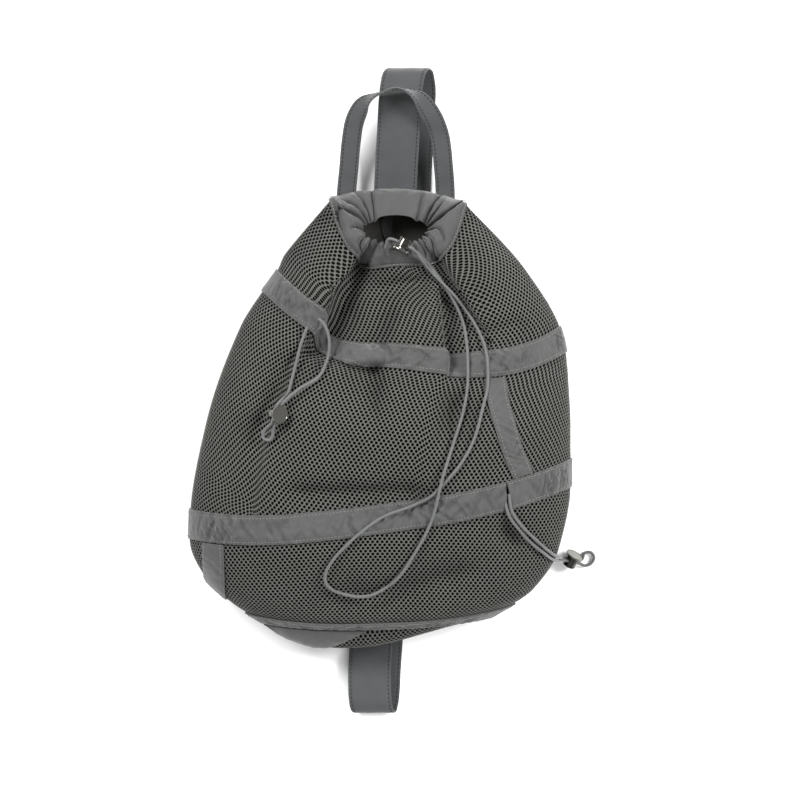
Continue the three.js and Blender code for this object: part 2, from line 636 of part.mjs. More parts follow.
function buildLock(lock) {
  const reach = CORD_DIAMETER / 2 + LOCK.slotClearance;
  const slotBottom = LOCK.cordZ - reach;
  const slotTop = LOCK.cordZ + reach;
  const top = LOCK.barrelHeight;
  const rim = LOCK.barrelRadius;
  const barrel = [
    [0, 0], [rim - LOCK.bevel, 0], [rim, LOCK.bevel], [rim, top - LOCK.bevel], [rim - LOCK.bevel, top],
    [LOCK.boreRadius, top], [LOCK.boreRadius, LOCK.floor], [0, LOCK.floor],
  ];
  const stemEnd = slotBottom - LOCK.barUnderCord;
  const disc = top + LOCK.discRise;
  const button = [
    [0, stemEnd], [LOCK.stemRadius, stemEnd], [LOCK.stemRadius, disc], [LOCK.discRadius - LOCK.bevel, disc],
    [LOCK.discRadius, disc + LOCK.bevel], [LOCK.discRadius, disc + LOCK.discWall - LOCK.bevel],
    [LOCK.discRadius - LOCK.bevel, disc + LOCK.discWall], [0, disc + LOCK.discWall],
  ];
  const place = new THREE.Group();
  place.applyMatrix4(lockFrame(lock));
  const barrelSolid = slottedLathe(barrel, slotBottom, slotTop);
  const buttonSolid = slottedLathe(button, slotBottom, slotTop + LOCK.travel);
  const pieces = [
    add(`${lock.name}_lock_barrel`, barrelSolid, COLOR.barrel, METAL_FINISH),
    add(`${lock.name}_lock_button`, buttonSolid, COLOR.button, METAL_FINISH),
  ];
  for (const piece of pieces) {
    piece.position.z = -LOCK.cordZ;
    place.add(piece);
  }
  bag.add(place);
}

// The points of a strand that runs through a lock, on one side of the slot
function throughLock(name, side) {
  const frame = lockFrame(LOCKS.find((lock) => lock.name === name));
  const offset = (side * STRAND_SPACING) / 2;
  return LOCK_PASS.map((along) => new THREE.Vector3(along, offset, 0).applyMatrix4(frame));
}

// The height at which a cord lies over a point, carried by the cloth beside it
function restingHeight(x, y) {
  const beside = [[0, 0], [CORD_REACH, 0], [-CORD_REACH, 0], [0, CORD_REACH], [0, -CORD_REACH]];
  return Math.max(...beside.map(([dx, dy]) => heightAt(x + dx, y + dy)));
}

function asPoints(rows) {
  return rows.map((row) => new THREE.Vector3(...row));
}

// A stretch of cord that lies on the bag, with points about CORD_STEP apart
function onBag(rows) {
  const plan = new THREE.CatmullRomCurve3(asPoints(rows));
  const points = plan.getSpacedPoints(Math.ceil(plan.getLength() / CORD_STEP));
  for (const point of points) point.z += restingHeight(point.x, point.y) + CORD_LIFT;
  return points;
}

function buildCord(name, points, steps) {
  const section = new THREE.Shape();
  const corners = Array.from({ length: CORD_SIDES }, (_, k) => (2 * Math.PI * k) / CORD_SIDES);
  const radius = CORD_DIAMETER / 2;
  section.setFromPoints(corners.map((a) => new THREE.Vector2(radius * Math.cos(a), radius * Math.sin(a))));
  const extrudePath = new THREE.CatmullRomCurve3(points, false, 'centripetal');
  const geometry = new THREE.ExtrudeGeometry(section, { steps, extrudePath, bevelEnabled: false });
  add(name, geometry, COLOR.cord);
}

function buildCords() {
  buildCord('mouth_cord', [
    ...asPoints(MOUTH_CORD_HEAD), ...throughLock('mouth', 1), ...onBag(MOUTH_CORD_LOOP),
    ...throughLock('mouth', -1).reverse(), ...asPoints(MOUTH_CORD_TAIL),
  ], CORD_STEPS.mouth);
  buildCord('left_cord', [
    ...onBag(LEFT_CORD_OUT), ...throughLock('left', 1), ...asPoints(LEFT_CORD_TIP),
    ...throughLock('left', -1).reverse(), ...onBag(LEFT_CORD_BACK),
  ], CORD_STEPS.left);
  buildCord('right_cord', [
    ...onBag(RIGHT_CORD_OUT), ...asPoints(RIGHT_CORD_HANG), ...throughLock('right', 1),
    ...asPoints(RIGHT_CORD_TIP), ...throughLock('right', -1).reverse(), ...asPoints(RIGHT_CORD_RISE),
    ...onBag(RIGHT_CORD_BACK),
  ], CORD_STEPS.right);
}

buildMesh();
buildBase();
buildCasing();
buildRoundTape('upper_tape', UPPER_TAPE);
buildRoundTape('lower_tape', LOWER_TAPE);
buildBinding();
SEAM_STRIPS.forEach(buildSeamStrip);
buildSideStrip();
buildStraps();
LOCKS.forEach(buildLock);
buildCords();

export default bag;
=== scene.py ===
"""A gathered air-mesh sling bag, stuffed and lying on its back: its looks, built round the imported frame.

Sizes are in metres in the frame's axes: +X is the viewer's right, +Y runs from the base to the mouth
and +Z is up from the floor.
"""

import math
from collections import namedtuple

import bpy
import numpy as np
from bpy.props import FloatProperty, FloatVectorProperty, PointerProperty
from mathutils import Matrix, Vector, noise


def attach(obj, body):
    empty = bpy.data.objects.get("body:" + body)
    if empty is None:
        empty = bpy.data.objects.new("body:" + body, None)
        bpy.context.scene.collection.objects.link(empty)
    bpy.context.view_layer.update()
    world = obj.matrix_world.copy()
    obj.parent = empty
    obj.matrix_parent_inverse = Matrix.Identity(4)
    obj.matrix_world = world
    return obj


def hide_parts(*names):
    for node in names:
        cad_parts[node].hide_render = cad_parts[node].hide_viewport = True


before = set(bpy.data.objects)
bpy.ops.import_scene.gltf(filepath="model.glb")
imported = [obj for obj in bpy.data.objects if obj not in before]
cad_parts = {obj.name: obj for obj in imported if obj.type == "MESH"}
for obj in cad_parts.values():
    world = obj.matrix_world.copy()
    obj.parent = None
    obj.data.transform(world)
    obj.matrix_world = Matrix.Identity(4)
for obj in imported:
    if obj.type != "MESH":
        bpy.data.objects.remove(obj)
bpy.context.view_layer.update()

bl_info = {
    "name": "Mesh bag",
    "version": (1, 0, 0),
    "blender": (4, 5, 0),
    "location": "View3D > Sidebar > Mesh bag",
    "description": "Builds a gathered air-mesh sling bag round its packed frame",
    "category": "Object",
}

# The shape of the cloth

Row = namedtuple("Row", "name down left_x left_y right_x right_y sag square front_z side_z back_z back_rise")
Fold = namedtuple("Fold", "name head_x head_y tail_x tail_y depth left right slip lean head_fade tail_fade")
Tape = namedtuple("Tape", "name top end exit lap slit_top slit_foot seed")
Strip = namedtuple("Strip", "name head_down tail_down head_s tail_s width inside seed")
Pleat = namedtuple("Pleat", "rim seam width depth reach")
Lock = namedtuple("Lock", "name x y z axis cord")
Lamp = namedtuple("Lamp", "name place power mirrored")
Zone = namedtuple("Zone", "anchor_head anchor_tail low_head low_tail high_head high_tail drawn")

# Rows of the cloth from the mouth to the base. down is the way along the front of the bag, left and
# right are the ends of a row seen from above, sag is how far its middle lies below the line between
# them and square how flat that middle is. The back lies flat where back_z is under its rest height.
ROWS = [
    Row("mouth_seam", 0.000, -0.0435, 0.179, 0.0765, 0.175, 0.060, 5.0, 0.068, 0.046, 0.014, 0.004),
    Row("shoulder", 0.038, -0.090, 0.124, 0.132, 0.116, 0.039, 2.6, 0.084, 0.034, 0.003, 0.0),
    Row("upper_tape_top", 0.079, -0.095, 0.112, 0.166, 0.060, 0.044, 2.6, 0.096, 0.036, -0.004, 0.0),
    Row("upper_tape_end", 0.102, -0.109, 0.092, 0.172, 0.036, 0.045, 2.6, 0.100, 0.038, -0.004, 0.0),
    Row("waist", 0.119, -0.129, 0.060, 0.174, 0.014, 0.034, 2.6, 0.107, 0.040, -0.004, 0.0),
    Row("belly", 0.171, -0.160, -0.027, 0.176, -0.032, 0.018, 2.6, 0.119, 0.046, -0.004, 0.0),
    Row("lower_tape_top", 0.227, -0.175, -0.109, 0.176, -0.062, 0.018, 2.8, 0.116, 0.047, -0.004, 0.0),
    Row("lower_tape_end", 0.253, -0.176, -0.136, 0.176, -0.088, 0.018, 2.8, 0.112, 0.046, -0.004, 0.0),
    Row("flank", 0.307, -0.162, -0.173, 0.165, -0.148, 0.020, 2.8, 0.092, 0.040, -0.004, 0.0),
    Row("hem", 0.335, -0.138, -0.196, 0.142, -0.184, 0.016, 2.8, 0.078, 0.036, -0.004, 0.0),
    Row("base_seam", 0.358, -0.109, -0.215, 0.103, -0.210, 0.007, 2.4, 0.060, 0.032, -0.004, 0.0),
]
ROW_DOWNS = np.array([row.down for row in ROWS])
ROW_VALUES = np.array([row[2:] for row in ROWS])

# Folds of the front, each along a line from its head to its tail. depth sinks the cloth and a minus
# raises it. left and right are the widths of its two flanks, and where the line runs to the right they
# are those towards the base and the mouth. slip draws the cloth towards the base and lean tips the steeper
# flank over the valley, to the right or with a minus to the left. The fades are the shares of the line over
# which the fold comes and goes.
FOLDS = [
    Fold("left_lobe_edge", -0.012, 0.134, -0.084, 0.012, 0.032, 0.0055, 0.020, 0.0, 0.008, 0.1, 0.4),
    Fold("centre_drop", -0.006, 0.139, -0.072, 0.023, 0.0, 0.0045, 0.052, 0.020, 0.0, 0.5, 0.35),
    Fold("left_lobe_crest", -0.037, 0.152, -0.078, 0.074, -0.007, 0.014, 0.014, 0.0, 0.0, 0.2, 0.5),
    Fold("left_shelf", -0.046, 0.164, -0.092, 0.104, 0.013, 0.012, 0.007, 0.0, 0.0, 0.1, 0.3),
    Fold("left_side_crease", -0.072, 0.046, -0.126, -0.082, 0.014, 0.010, 0.018, 0.0, 0.003, 0.2, 0.5),
    Fold("right_lobe_edge", 0.049, 0.128, 0.099, 0.040, 0.017, 0.014, 0.007, 0.0, -0.008, 0.1, 0.4),
    Fold("right_lobe_crest", 0.075, 0.142, 0.122, 0.068, -0.005, 0.014, 0.018, 0.0, 0.0, 0.2, 0.5),
    Fold("right_shelf", 0.084, 0.160, 0.128, 0.116, 0.008, 0.007, 0.010, 0.0, 0.0, 0.1, 0.4),
    Fold("under_casing", -0.020, 0.099, 0.055, 0.099, 0.017, 0.012, 0.008, 0.0, 0.0, 0.3, 0.3),
    Fold("centre_crease", 0.012, 0.092, -0.008, 0.042, 0.017, 0.016, 0.009, 0.0, 0.0, 0.4, 0.2),
    Fold("centre_edge", 0.055, 0.106, 0.064, 0.000, 0.015, 0.0045, 0.018, 0.004, 0.006, 0.2, 0.3),
    Fold("belly_valley", -0.006, 0.036, -0.012, -0.044, 0.019, 0.026, 0.010, 0.0, 0.0, 0.1, 0.6),
    Fold("belly_crease", 0.070, 0.010, 0.058, -0.066, 0.021, 0.010, 0.016, 0.0, 0.0, 0.4, 0.6),
    Fold("tape_tuck", -0.098, -0.095, 0.056, -0.093, 0.014, 0.030, 0.009, 0.0, 0.0, 0.2, 0.2),
    Fold("right_tuck", 0.080, 0.045, 0.140, 0.062, 0.010, 0.014, 0.009, 0.0, 0.0, 0.3, 0.3),
    Fold("hem_fold", -0.045, -0.200, 0.108, -0.158, 0.014, 0.012, 0.012, 0.0, 0.0, 0.25, 0.3),
    Fold("hem_crease", -0.010, -0.166, -0.058, -0.208, 0.007, 0.012, 0.009, 0.0, 0.0, 0.4, 0.4),
    Fold("flank_dent", 0.104, -0.116, 0.132, -0.150, 0.015, 0.011, 0.011, 0.0, 0.0, 0.4, 0.4),
]
# Zones of a panel between two lines down it, each with the line that its knit is counted off from, as the
# places s of the line's head and tail. drawn is 1 where the knit keeps its pitch as the folds draw it aside
# and 0 where it stretches with them.
ROUND_ZONES = [Zone(0.5, 0.5, -1.0, -1.0, 2.0, 2.0, 1.0)]
LOBE_ZONES = [
    Zone(0.225, 0.246, -1.0, -1.0, 0.291, 0.275, 0.0),
    Zone(0.5, 0.5, 0.291, 0.275, 0.7065, 0.667, 1.0),
    Zone(0.798, 0.7025, 0.7065, 0.667, 2.0, 2.0, 0.0),
]
# The corners of a cell, the other way round
TURNED_OVER = [0, 5, 4, 3, 2, 1]
LEAN_PLACE = 1.5
LEAN_REACH = 1.4
LEAN_PULL = 0.5
FRONT_POWER = 2.4
BACK_POWER = 3.6
REST_HEIGHT = 0.0016
BASE_DOWN = ROWS[-1].down

# The rim of the mouth, an oval that leans back, and the casing gathered round it
MOUTH_X = 0.0138
MOUTH_Y = 0.1495
MOUTH_HALF_WIDTH = 0.029
MOUTH_HALF_DEPTH = 0.013
MOUTH_FRONT_Z = 0.074
MOUTH_BACK_Z = 0.044
CASING_FRONT_PUFF = 0.005
CASING_BACK_PUFF = 0.015
CASING_BACK_RISE = 0.3
CASING_SIDE = 0.5
CASING_WALL = 0.0018
CASING_HEM = 0.0022
CASING_STITCH_LIFT = 0.0002
# Fine creases of the casing, over cloth of a width for each unit of s and a depth from rim to seam
CASING_CREASE = 0.0006
CASING_CREASE_PITCH = 0.009
CASING_CREASE_START = 0.2
CASING_CREASE_SEED = 3.0
CASING_CLOTH_WIDTH = 0.17
CASING_CLOTH_DEPTH = 0.05
# Creases of the gathered casing, each from a place s at the rim to a place s at the seam. reach is the
# share of the way to the seam that it runs.
PLEATS = [
    Pleat(-0.15, 0.12, 0.016, 0.0102, 1.30),
    Pleat(-0.21, -0.03, 0.014, 0.0071, 0.90),
    Pleat(-0.25, -0.21, 0.013, 0.0068, 0.85),
    Pleat(-0.30, -0.365, 0.012, 0.0071, 0.90),
    Pleat(-0.72, -0.63, 0.018, 0.0058, 0.70),
    Pleat(-0.84, -0.75, 0.014, 0.0078, 1.00),
    Pleat(-0.90, -0.83, 0.013, 0.0051, 0.80),
    Pleat(1.02, 1.02, 0.016, 0.0102, 1.30),
    Pleat(0.94, 0.76, 0.013, 0.0058, 1.10),
    Pleat(0.84, 0.70, 0.011, 0.0078, 1.20),
    Pleat(0.78, 0.665, 0.011, 0.0082, 1.20),
    Pleat(0.73, 0.63, 0.011, 0.0075, 1.10),
    Pleat(0.67, 0.59, 0.011, 0.0061, 1.00),
    Pleat(0.61, 0.56, 0.010, 0.0044, 0.80),
    Pleat(0.54, 0.53, 0.012, 0.0048, 1.00),
    Pleat(0.40, 0.47, 0.014, 0.0037, 1.20),
    Pleat(0.345, 0.345, 0.012, 0.0075, 1.30),
    Pleat(0.26, 0.31, 0.011, 0.0075, 1.10),
    Pleat(0.185, 0.28, 0.012, 0.0085, 1.20),
    Pleat(0.075, 0.205, 0.013, 0.0051, 0.80),
]
RIM_RIPPLES = 13
RIM_RIPPLE_SWAY = 1.5
RIM_SWAY_WAVES = 3
RIM_RIPPLE_DEPTH = 0.0022
RIM_RIPPLE_START = 0.45
RIM_SPREAD = 0.45
PLEAT_SPREAD = 1.2
PLEAT_ROUND = 0.15

# The base panel swells past its seam
BASE_SWELL = 0.022
BASE_SWELL_TILT = 0.75

# Tapes over the seams
# A tape ends where its cord comes out: lap is how far its end runs over its start, and the slits are the
# gaps between them at its two edges, in the measure s round the bag.
UPPER_TAPE = Tape("upper_tape", 0.079, 0.102, 0.245, 0.008, -0.022, -0.022, 1.7)
LOWER_TAPE = Tape("lower_tape", 0.227, 0.253, 0.726, -0.002, 0.000, 0.013, 6.7)
TAPE_TUNNEL = 0.0007
TAPE_PUCKER = 0.0003
TAPE_PUCKER_PITCH = 0.0087
TAPE_CREASE = 0.0062
TAPE_CREASE_PITCH = 0.0072
TAPE_CREASE_RUN = 0.009
TAPE_RIDGE = 0.25
TAPE_PATCH = 0.040
TAPE_PATCH_MEAN = 0.75
TAPE_PATCH_SEED = 4.0
TAPE_SLANT = 0.014
TAPE_CROSS_SEED = 7.0
TAPE_FLAT_SIDE = 0.6
LAP_LIFT = 0.0020
LAP_NEAR = 0.006
LAP_FAR = 0.018
BINDING_WIDTH = 0.012
BINDING_INSET = 0.0009
BINDING_CREASED = 0.3
BINDING_SEED = 13.0
STRIP_CREASED = 0.5
STRIPS = [
    Strip("seam_tape_middle", 0.1035, 0.2255, 0.675, 0.765, 0.020, False, 20.0),
    Strip("seam_tape_inner", 0.006, 0.074, 1.53, 1.53, 0.010, True, 23.0),
]
# A strip inside the bag hangs in waves
INNER_STRIP_SWAY = 0.013
INNER_STRIP_WAVES = 2.2
# The tape of the lower upright seam hangs straight down and passes over the left side of the bag
SIDE_STRIP_X = -0.152
SIDE_STRIP_WIDTH = 0.020
SIDE_STRIP_HEAD = 0.2545
SIDE_STRIP_TAIL_S = -0.12
SIDE_STRIP_OVER_SIDE = 0.7
SIDE_STRIP_CREASED = 0.1
SIDE_STRIP_SEED = 26.0
# A fold of the base binding that hangs over the base panel and tapers off to the right
BINDING_FOLD_X = (-0.107, -0.012)
BINDING_FOLD_TAPER = 0.52
BINDING_FOLD_START = 0.2
BINDING_FOLD_IN = 0.0006
BINDING_FOLD_LOW_Z = 0.026
BINDING_FOLD_SWELL = 0.0009
BINDING_FOLD_DEEP = 0.02
BINDING_FOLD_PITCH = 0.008
BINDING_FOLD_SEED = 5.0
TAPE_WALL = 0.0012
MESH_WALL = 0.002
KNIT_BACK_WALL = 0.0004
LAYER_GAP = 0.0004
STRIP_GAP = 0.0006
# How far the panels run under the tapes and stop short of the base seam
PANEL_TUCK = 0.004
PANEL_BASE_GAP = 0.002
STITCH_LIFT = 0.0001
SEAM_END = 0.002
SEAM_STEP = 0.0016

# The strap, from the back of the mouth round under the bag to its base, and the handle behind the mouth
STRAP_LIFT = 0.0024
STRAP_LIFT_FLAT = 0.058
STRAP_LIFT_EDGE = 0.095
STRAP_UNDER_HEAD = (0.027, 0.184)
STRAP_UNDER_TAIL = (0.001, -0.234)
STRAP_LINE = [
    (0.014, 0.168, 0.0116), (0.014, 0.186, 0.0125), (0.015, 0.208, 0.016), (0.017, 0.242, 0.025),
    (0.0185, 0.270, 0.0305), (0.020, 0.284, 0.031), (0.022, 0.294, 0.028), (0.0245, 0.299, 0.022),
    (0.027, 0.3005, 0.015), (0.0295, 0.298, 0.008), (0.031, 0.291, 0.0036), (0.032, 0.281, 0.0015),
    (0.031, 0.262, 0.001), (0.029, 0.220, 0.001), (0.027, 0.184, 0.001), (0.018, 0.040, 0.001),
    (0.009, -0.104, 0.001), (0.001, -0.234, 0.001), (-0.001, -0.264, 0.001), (-0.002, -0.284, 0.0016),
    (-0.0035, -0.295, 0.004), (-0.0055, -0.3005, 0.008), (-0.008, -0.297, 0.013), (-0.0095, -0.287, 0.0152),
    (-0.010, -0.264, 0.0125), (-0.009, -0.242, 0.0082), (-0.008, -0.227, 0.0052),
]
STRAP_WALL = 0.002
STRAP_EDGE = 0.0012
STRAP_EDGE_LEAST = 0.12
STRAP_CHANNEL = 0.0009
STRAP_CHANNEL_DEPTH = 0.0003
STRAP_CREASE = 0.00035
STRAP_CREASE_PITCH = 0.012
STRAP_SEED = 31.0
STRAP_STITCH_SINK = 0.0001
STRAP_STITCH_SPREAD = 1.15
HANDLE_TURN = (0.18, 0.82)
HANDLE_SEED = 37.0
HANDLE_LINE = [
    (-0.032, 0.172, 0.0145), (-0.0315, 0.186, 0.015), (-0.0295, 0.206, 0.0185), (-0.027, 0.232, 0.026),
    (-0.023, 0.252, 0.034), (-0.014, 0.267, 0.041), (0.000, 0.275, 0.045), (0.017, 0.279, 0.046),
    (0.033, 0.273, 0.045), (0.046, 0.258, 0.038), (0.055, 0.238, 0.028), (0.059, 0.208, 0.0195),
    (0.0605, 0.186, 0.015), (0.0605, 0.172, 0.0145),
]

# Cords: free stretches that lie on the bag give x, y and the height over the cloth
CORD_LIFT = 0.0018
CORD_REACH = 0.004
CORD_STEP = 0.009
# A cord spans the hollows that are shorter than this many of its steps to each side
CORD_SPAN_STEPS = 2
STRAND_SPACING = 0.0033
MOUTH_CORD_LOOP = [
    (0.044, 0.116, 0.003), (0.062, 0.092, 0.001), (0.076, 0.062, 0.002), (0.080, 0.012, 0.0),
    (0.076, -0.018, 0.0), (0.066, -0.050, 0.0), (0.057, -0.078, 0.0032), (0.048, -0.115, 0.0),
    (0.040, -0.133, 0.0), (0.029, -0.152, 0.0), (0.015, -0.172, 0.0), (-0.009, -0.187, 0.0),
    (-0.032, -0.186, 0.0), (-0.046, -0.179, 0.0), (-0.050, -0.170, 0.0), (-0.044, -0.156, 0.0),
    (-0.032, -0.142, 0.0), (-0.014, -0.126, 0.0), (0.004, -0.114, 0.0), (0.028, -0.105, 0.0),
    (0.046, -0.096, 0.0), (0.057, -0.085, 0.0), (0.072, -0.068, 0.0), (0.085, -0.045, 0.0),
    (0.094, -0.013, 0.0), (0.098, 0.005, 0.0), (0.095, 0.042, 0.0005), (0.075, 0.079, 0.0025),
    (0.047, 0.109, 0.003),
]
LEFT_CORD_OUT = [
    (-0.060, 0.067, -0.002), (-0.052, 0.062, 0.001), (-0.046, 0.044, 0.001), (-0.054, 0.014, 0.0),
    (-0.072, 0.002, 0.004),
]
LEFT_CORD_BACK = [(-0.083, -0.002, 0.004), (-0.078, 0.018, 0.0), (-0.072, 0.042, 0.0), (-0.066, 0.058, 0.0)]
RIGHT_CORD_OUT = [
    (0.117, -0.094, -0.0019), (0.120, -0.110, 0.0), (0.130, -0.124, 0.0), (0.143, -0.137, 0.0),
    (0.152, -0.145, 0.0005),
]
RIGHT_CORD_BACK = [
    (0.149, -0.148, 0.0005), (0.139, -0.140, 0.0), (0.127, -0.127, 0.0), (0.117, -0.113, 0.0),
    (0.113, -0.097, -0.0019),
]
# Stretches that leave the bag, as points: out of the casing, past the left lock and over the side
MOUTH_CORD_HEAD = [(0.005, 0.130, 0.0794), (0.008, 0.138, 0.086)]
MOUTH_CORD_TAIL = [(0.011, 0.138, 0.0836), (0.0095, 0.131, 0.0794)]
LEFT_CORD_TIP = [
    (-0.0966, -0.0362, 0.1095), (-0.0970, -0.0412, 0.1075), (-0.1000, -0.0448, 0.1062),
    (-0.1044, -0.0442, 0.1062), (-0.1060, -0.0400, 0.1072), (-0.1036, -0.0352, 0.1100),
]
RIGHT_CORD_HANG = [(0.1605, -0.1515, 0.062), (0.166, -0.154, 0.046), (0.168, -0.1558, 0.027)]
RIGHT_CORD_RISE = [(0.1665, -0.1584, 0.028), (0.1645, -0.1574, 0.046), (0.1575, -0.1545, 0.062)]
RIGHT_CORD_TIP = [
    (0.1895, -0.1575, 0.0024), (0.1915, -0.1524, 0.0024), (0.197, -0.1516, 0.0024),
    (0.2004, -0.1564, 0.0024), (0.1978, -0.1619, 0.0026), (0.192, -0.1639, 0.0036),
]

# Spring locks, each placed by the middle of its cord slot. Heights are along the lock's own axis, from
# the foot of its barrel.
LOCKS = [
    Lock("mouth", 0.0215, 0.133, 0.0872, (-0.45, -0.88, 0.1), (0.85, -0.5, 0.05)),
    Lock("left", -0.0935, -0.0215, 0.1118, (0.55, -0.05, 0.83), (-0.5, -0.86, -0.2)),
    Lock("right", 0.1787, -0.1591, 0.0096, (0.45, 0.82, 0.35), (0.95, 0.05, -0.45)),
]
LOCK_PASS = [-0.009, -0.006, 0.0, 0.006, 0.009]
LOCK_CORD_Z = 0.0056
LOCK_BARREL_RADIUS = 0.006
LOCK_BARREL_HEIGHT = 0.0092
LOCK_BORE_RADIUS = 0.0047
LOCK_FLOOR = 0.0012
LOCK_STEM_RADIUS = 0.0043
LOCK_BAR_UNDER_CORD = 0.001
LOCK_SLOT_CLEARANCE = 0.00035
LOCK_TRAVEL = 0.0014
LOCK_DISC_RADIUS = 0.0085
LOCK_DISC_WALL = 0.002
LOCK_DISC_RISE = 0.0017
LOCK_BEVEL = 0.0006
LOCK_BEVEL_ROUND = 0.3
LOCK_GROOVE = 0.0005
LOCK_GROOVE_IN = 0.0022
LOCK_RIM = 0.0012
LOCK_RIM_SLOPE = 0.00012
LOCK_DISH = 0.00018
LOCK_SIDES = 48
LOCK_SHARP = math.radians(35)

# How finely the pieces are divided, and the least turn of a sharp edge
CLOTH_SHARP = math.radians(50)
PANEL_COLUMNS = 480
PANEL_ROW_STEP = 0.0024
LATTICE_COLUMNS = 900
LATTICE_ROWS = 90
# The least share of a full cell of the knit that is kept
CELL_LEAST = 0.12
NET_MARGIN = 2
BASE_MARGIN = 3
BASE_RINGS = np.linspace(0.985, 0.02, 30)
RIM_MARKS = 1600
TAPE_COLUMN_STEP = 0.0011
TAPE_ROWS = 21
TAPE_LENGTH_MARKS = 400
BINDING_FOLD_COLUMNS = 80
BINDING_FOLD_ROWS = 20
CASING_COLUMNS = 760
CASING_ROWS = 44
STRAP_SPAN_STEPS = 20
STRAP_ACROSS = 25
CORD_SIDES = 12
CORD_RING_STEP = 0.0009
CORD_LAID_STEPS = 20
CORD_SPAN_RINGS = 16
STITCH_SIDES = 8
STITCH_RINGS = 5
# Small steps over which the outward ways are found
STEP_DOWN = 0.0006
STEP_ROUND = 0.003
STEP_BASE = 0.03
STEP_CASING = 0.02
TINY = 1e-12

# The stage: a camera straight above the bag, three lamps and a pale floor
CAMERA_PLACE = (0.0184, -0.0087, 3.06)
CAMERA_LENS = 146.7
CAMERA_SENSOR = 36.0
LAMP_SIZE = 1.3
LAMPS = [
    Lamp("left", (-1.7, 1.5, 2.3), 128.0, True),
    Lamp("right", (2.3, 0.7, 2.1), 160.0, False),
    Lamp("base", (0.5, -2.4, 2.2), 44.0, False),
]
WORLD_STRENGTH = 0.46
FLOOR_HALF = 6.0
FLOOR_DROP = 0.0006


def length_property(name, description, default):
    return FloatProperty(name=name, description=description, default=default, unit="LENGTH", precision=5)


def colour_property(name, description, *rgb):
    return FloatVectorProperty(name=name, description=description, subtype="COLOR", size=4,
                               default=(*rgb, 1.0))


class BagSizes(bpy.types.PropertyGroup):
    """Sizes of the cloth, cords and stitches that a user would change"""

    cell_pitch: length_property("Cell pitch", "Way between mesh holes along a row", 0.00435)
    row_pitch: length_property("Row pitch", "Way between rows of mesh holes", 0.00295)
    hole_height: FloatProperty(name="Hole height", description="Height of a hole as a share of its cell",
                               default=0.80, min=0.2, max=0.9)
    hole_slimness: FloatProperty(name="Hole slimness", description="Width of a hole as a share of its height",
                                 default=0.74, min=0.3, max=1.0)
    strand_drop: length_property("Strand drop", "How far a strand rounds off at a hole", 0.00035)
    hole_depth: length_property("Hole depth", "Depth of a hole under its rim", 0.0016)
    back_depth: length_property("Back depth", "Depth of the knit back face of the mesh", 0.0021)
    cord_diameter: length_property("Cord diameter", "Diameter of the elastic cord", 0.0028)
    strap_width: length_property("Strap width", "Width of the shoulder strap", 0.040)
    handle_width: length_property("Handle width", "Width of the grab handle", 0.018)
    stitch_pitch: length_property("Stitch pitch", "Way from one stitch to the next", 0.0033)
    stitch_length: length_property("Stitch length", "Length of one stitch", 0.0023)
    thread: length_property("Thread", "Thickness of the sewing thread", 0.0008)
    stitch_inset: length_property("Stitch inset", "Way from a tape's edge to its stitches", 0.0026)


class BagColours(bpy.types.PropertyGroup):
    """Colours of the cloths, the cord and the metal"""

    strand: colour_property("Mesh strand", "Knit strands of the mesh", 0.0885, 0.0890, 0.0815)
    # Painted shade: the back face seen down the holes is the mesh's dark back layer, coloured near black, far
    # darker than its inner face, for the shade in the holes.
    knit_back_painted_shade: colour_property("Mesh back", "Back face of the mesh, seen in its holes", 0.006, 0.006, 0.005)
    # Painted shade: the walls of the holes are the strands' own yarn, coloured near black for the shade down
    # the holes.
    knit_bore_painted_shade: colour_property("Mesh bore", "Walls of the mesh holes", 0.006, 0.006, 0.0055)
    knit_inside: colour_property("Mesh inside", "Inner face of the mesh", 0.050, 0.049, 0.044)
    tape: colour_property("Tape", "Woven tapes and casing", 0.057, 0.0587, 0.057)
    strap: colour_property("Strap", "Strap and handle", 0.047, 0.0485, 0.050)
    cord: colour_property("Cord", "Braided elastic cord", 0.095, 0.098, 0.096)
    light_thread: colour_property("Light thread", "Stitches of the tapes", 0.15, 0.15, 0.146)
    # Painted shade: the strap stitches' thread is coloured near black, darker than the strap, for the shade
    # where it sinks into the webbing and at its needle holes.
    dark_thread_painted_shade: colour_property("Dark thread", "Stitches of the straps", 0.010, 0.010, 0.011)
    barrel: colour_property("Lock barrel", "Dark metal of the lock barrels", 0.10, 0.098, 0.090)
    button: colour_property("Lock button", "Polished metal of the lock buttons", 0.24, 0.237, 0.215)
    floor: colour_property("Floor", "Plain pale floor", 0.90, 0.90, 0.90)


def sizes():
    return bpy.context.scene.mesh_bag_sizes


def colours():
    return bpy.context.scene.mesh_bag_colours


# The surface of the bag

def lerp(a, b, share):
    return a + (b - a) * share


def smoothstep(value, low, high):
    share = np.clip((value - low) / (high - low), 0, 1)
    return share * share * (3 - 2 * share)


def row_slopes():
    """The slope of each column of the row table at each row, with no overshoot."""
    secants = np.diff(ROW_VALUES, axis=0) / np.diff(ROW_DOWNS)[:, None]
    product = secants[:-1] * secants[1:]
    total = np.where(product > 0, secants[:-1] + secants[1:], 1)
    middle = np.where(product > 0, 2 * product / total, 0)
    return np.vstack([secants[:1], middle, secants[-1:]])


ROW_SLOPES = row_slopes()


def row_at(down):
    """Every column of the row table at places along the cloth."""
    down = np.asarray(down, float)
    i = np.clip(np.searchsorted(ROW_DOWNS[1:], down), 0, len(ROWS) - 2)
    span = (ROW_DOWNS[i + 1] - ROW_DOWNS[i])[..., None]
    t = (down - ROW_DOWNS[i])[..., None] / span
    bend = ROW_SLOPES[i] * (1 - t) - ROW_SLOPES[i + 1] * t
    values = lerp(ROW_VALUES[i], ROW_VALUES[i + 1], t * t * (3 - 2 * t)) + bend * span * t * (1 - t)
    return Row("at", down, *np.moveaxis(values, -1, 0))


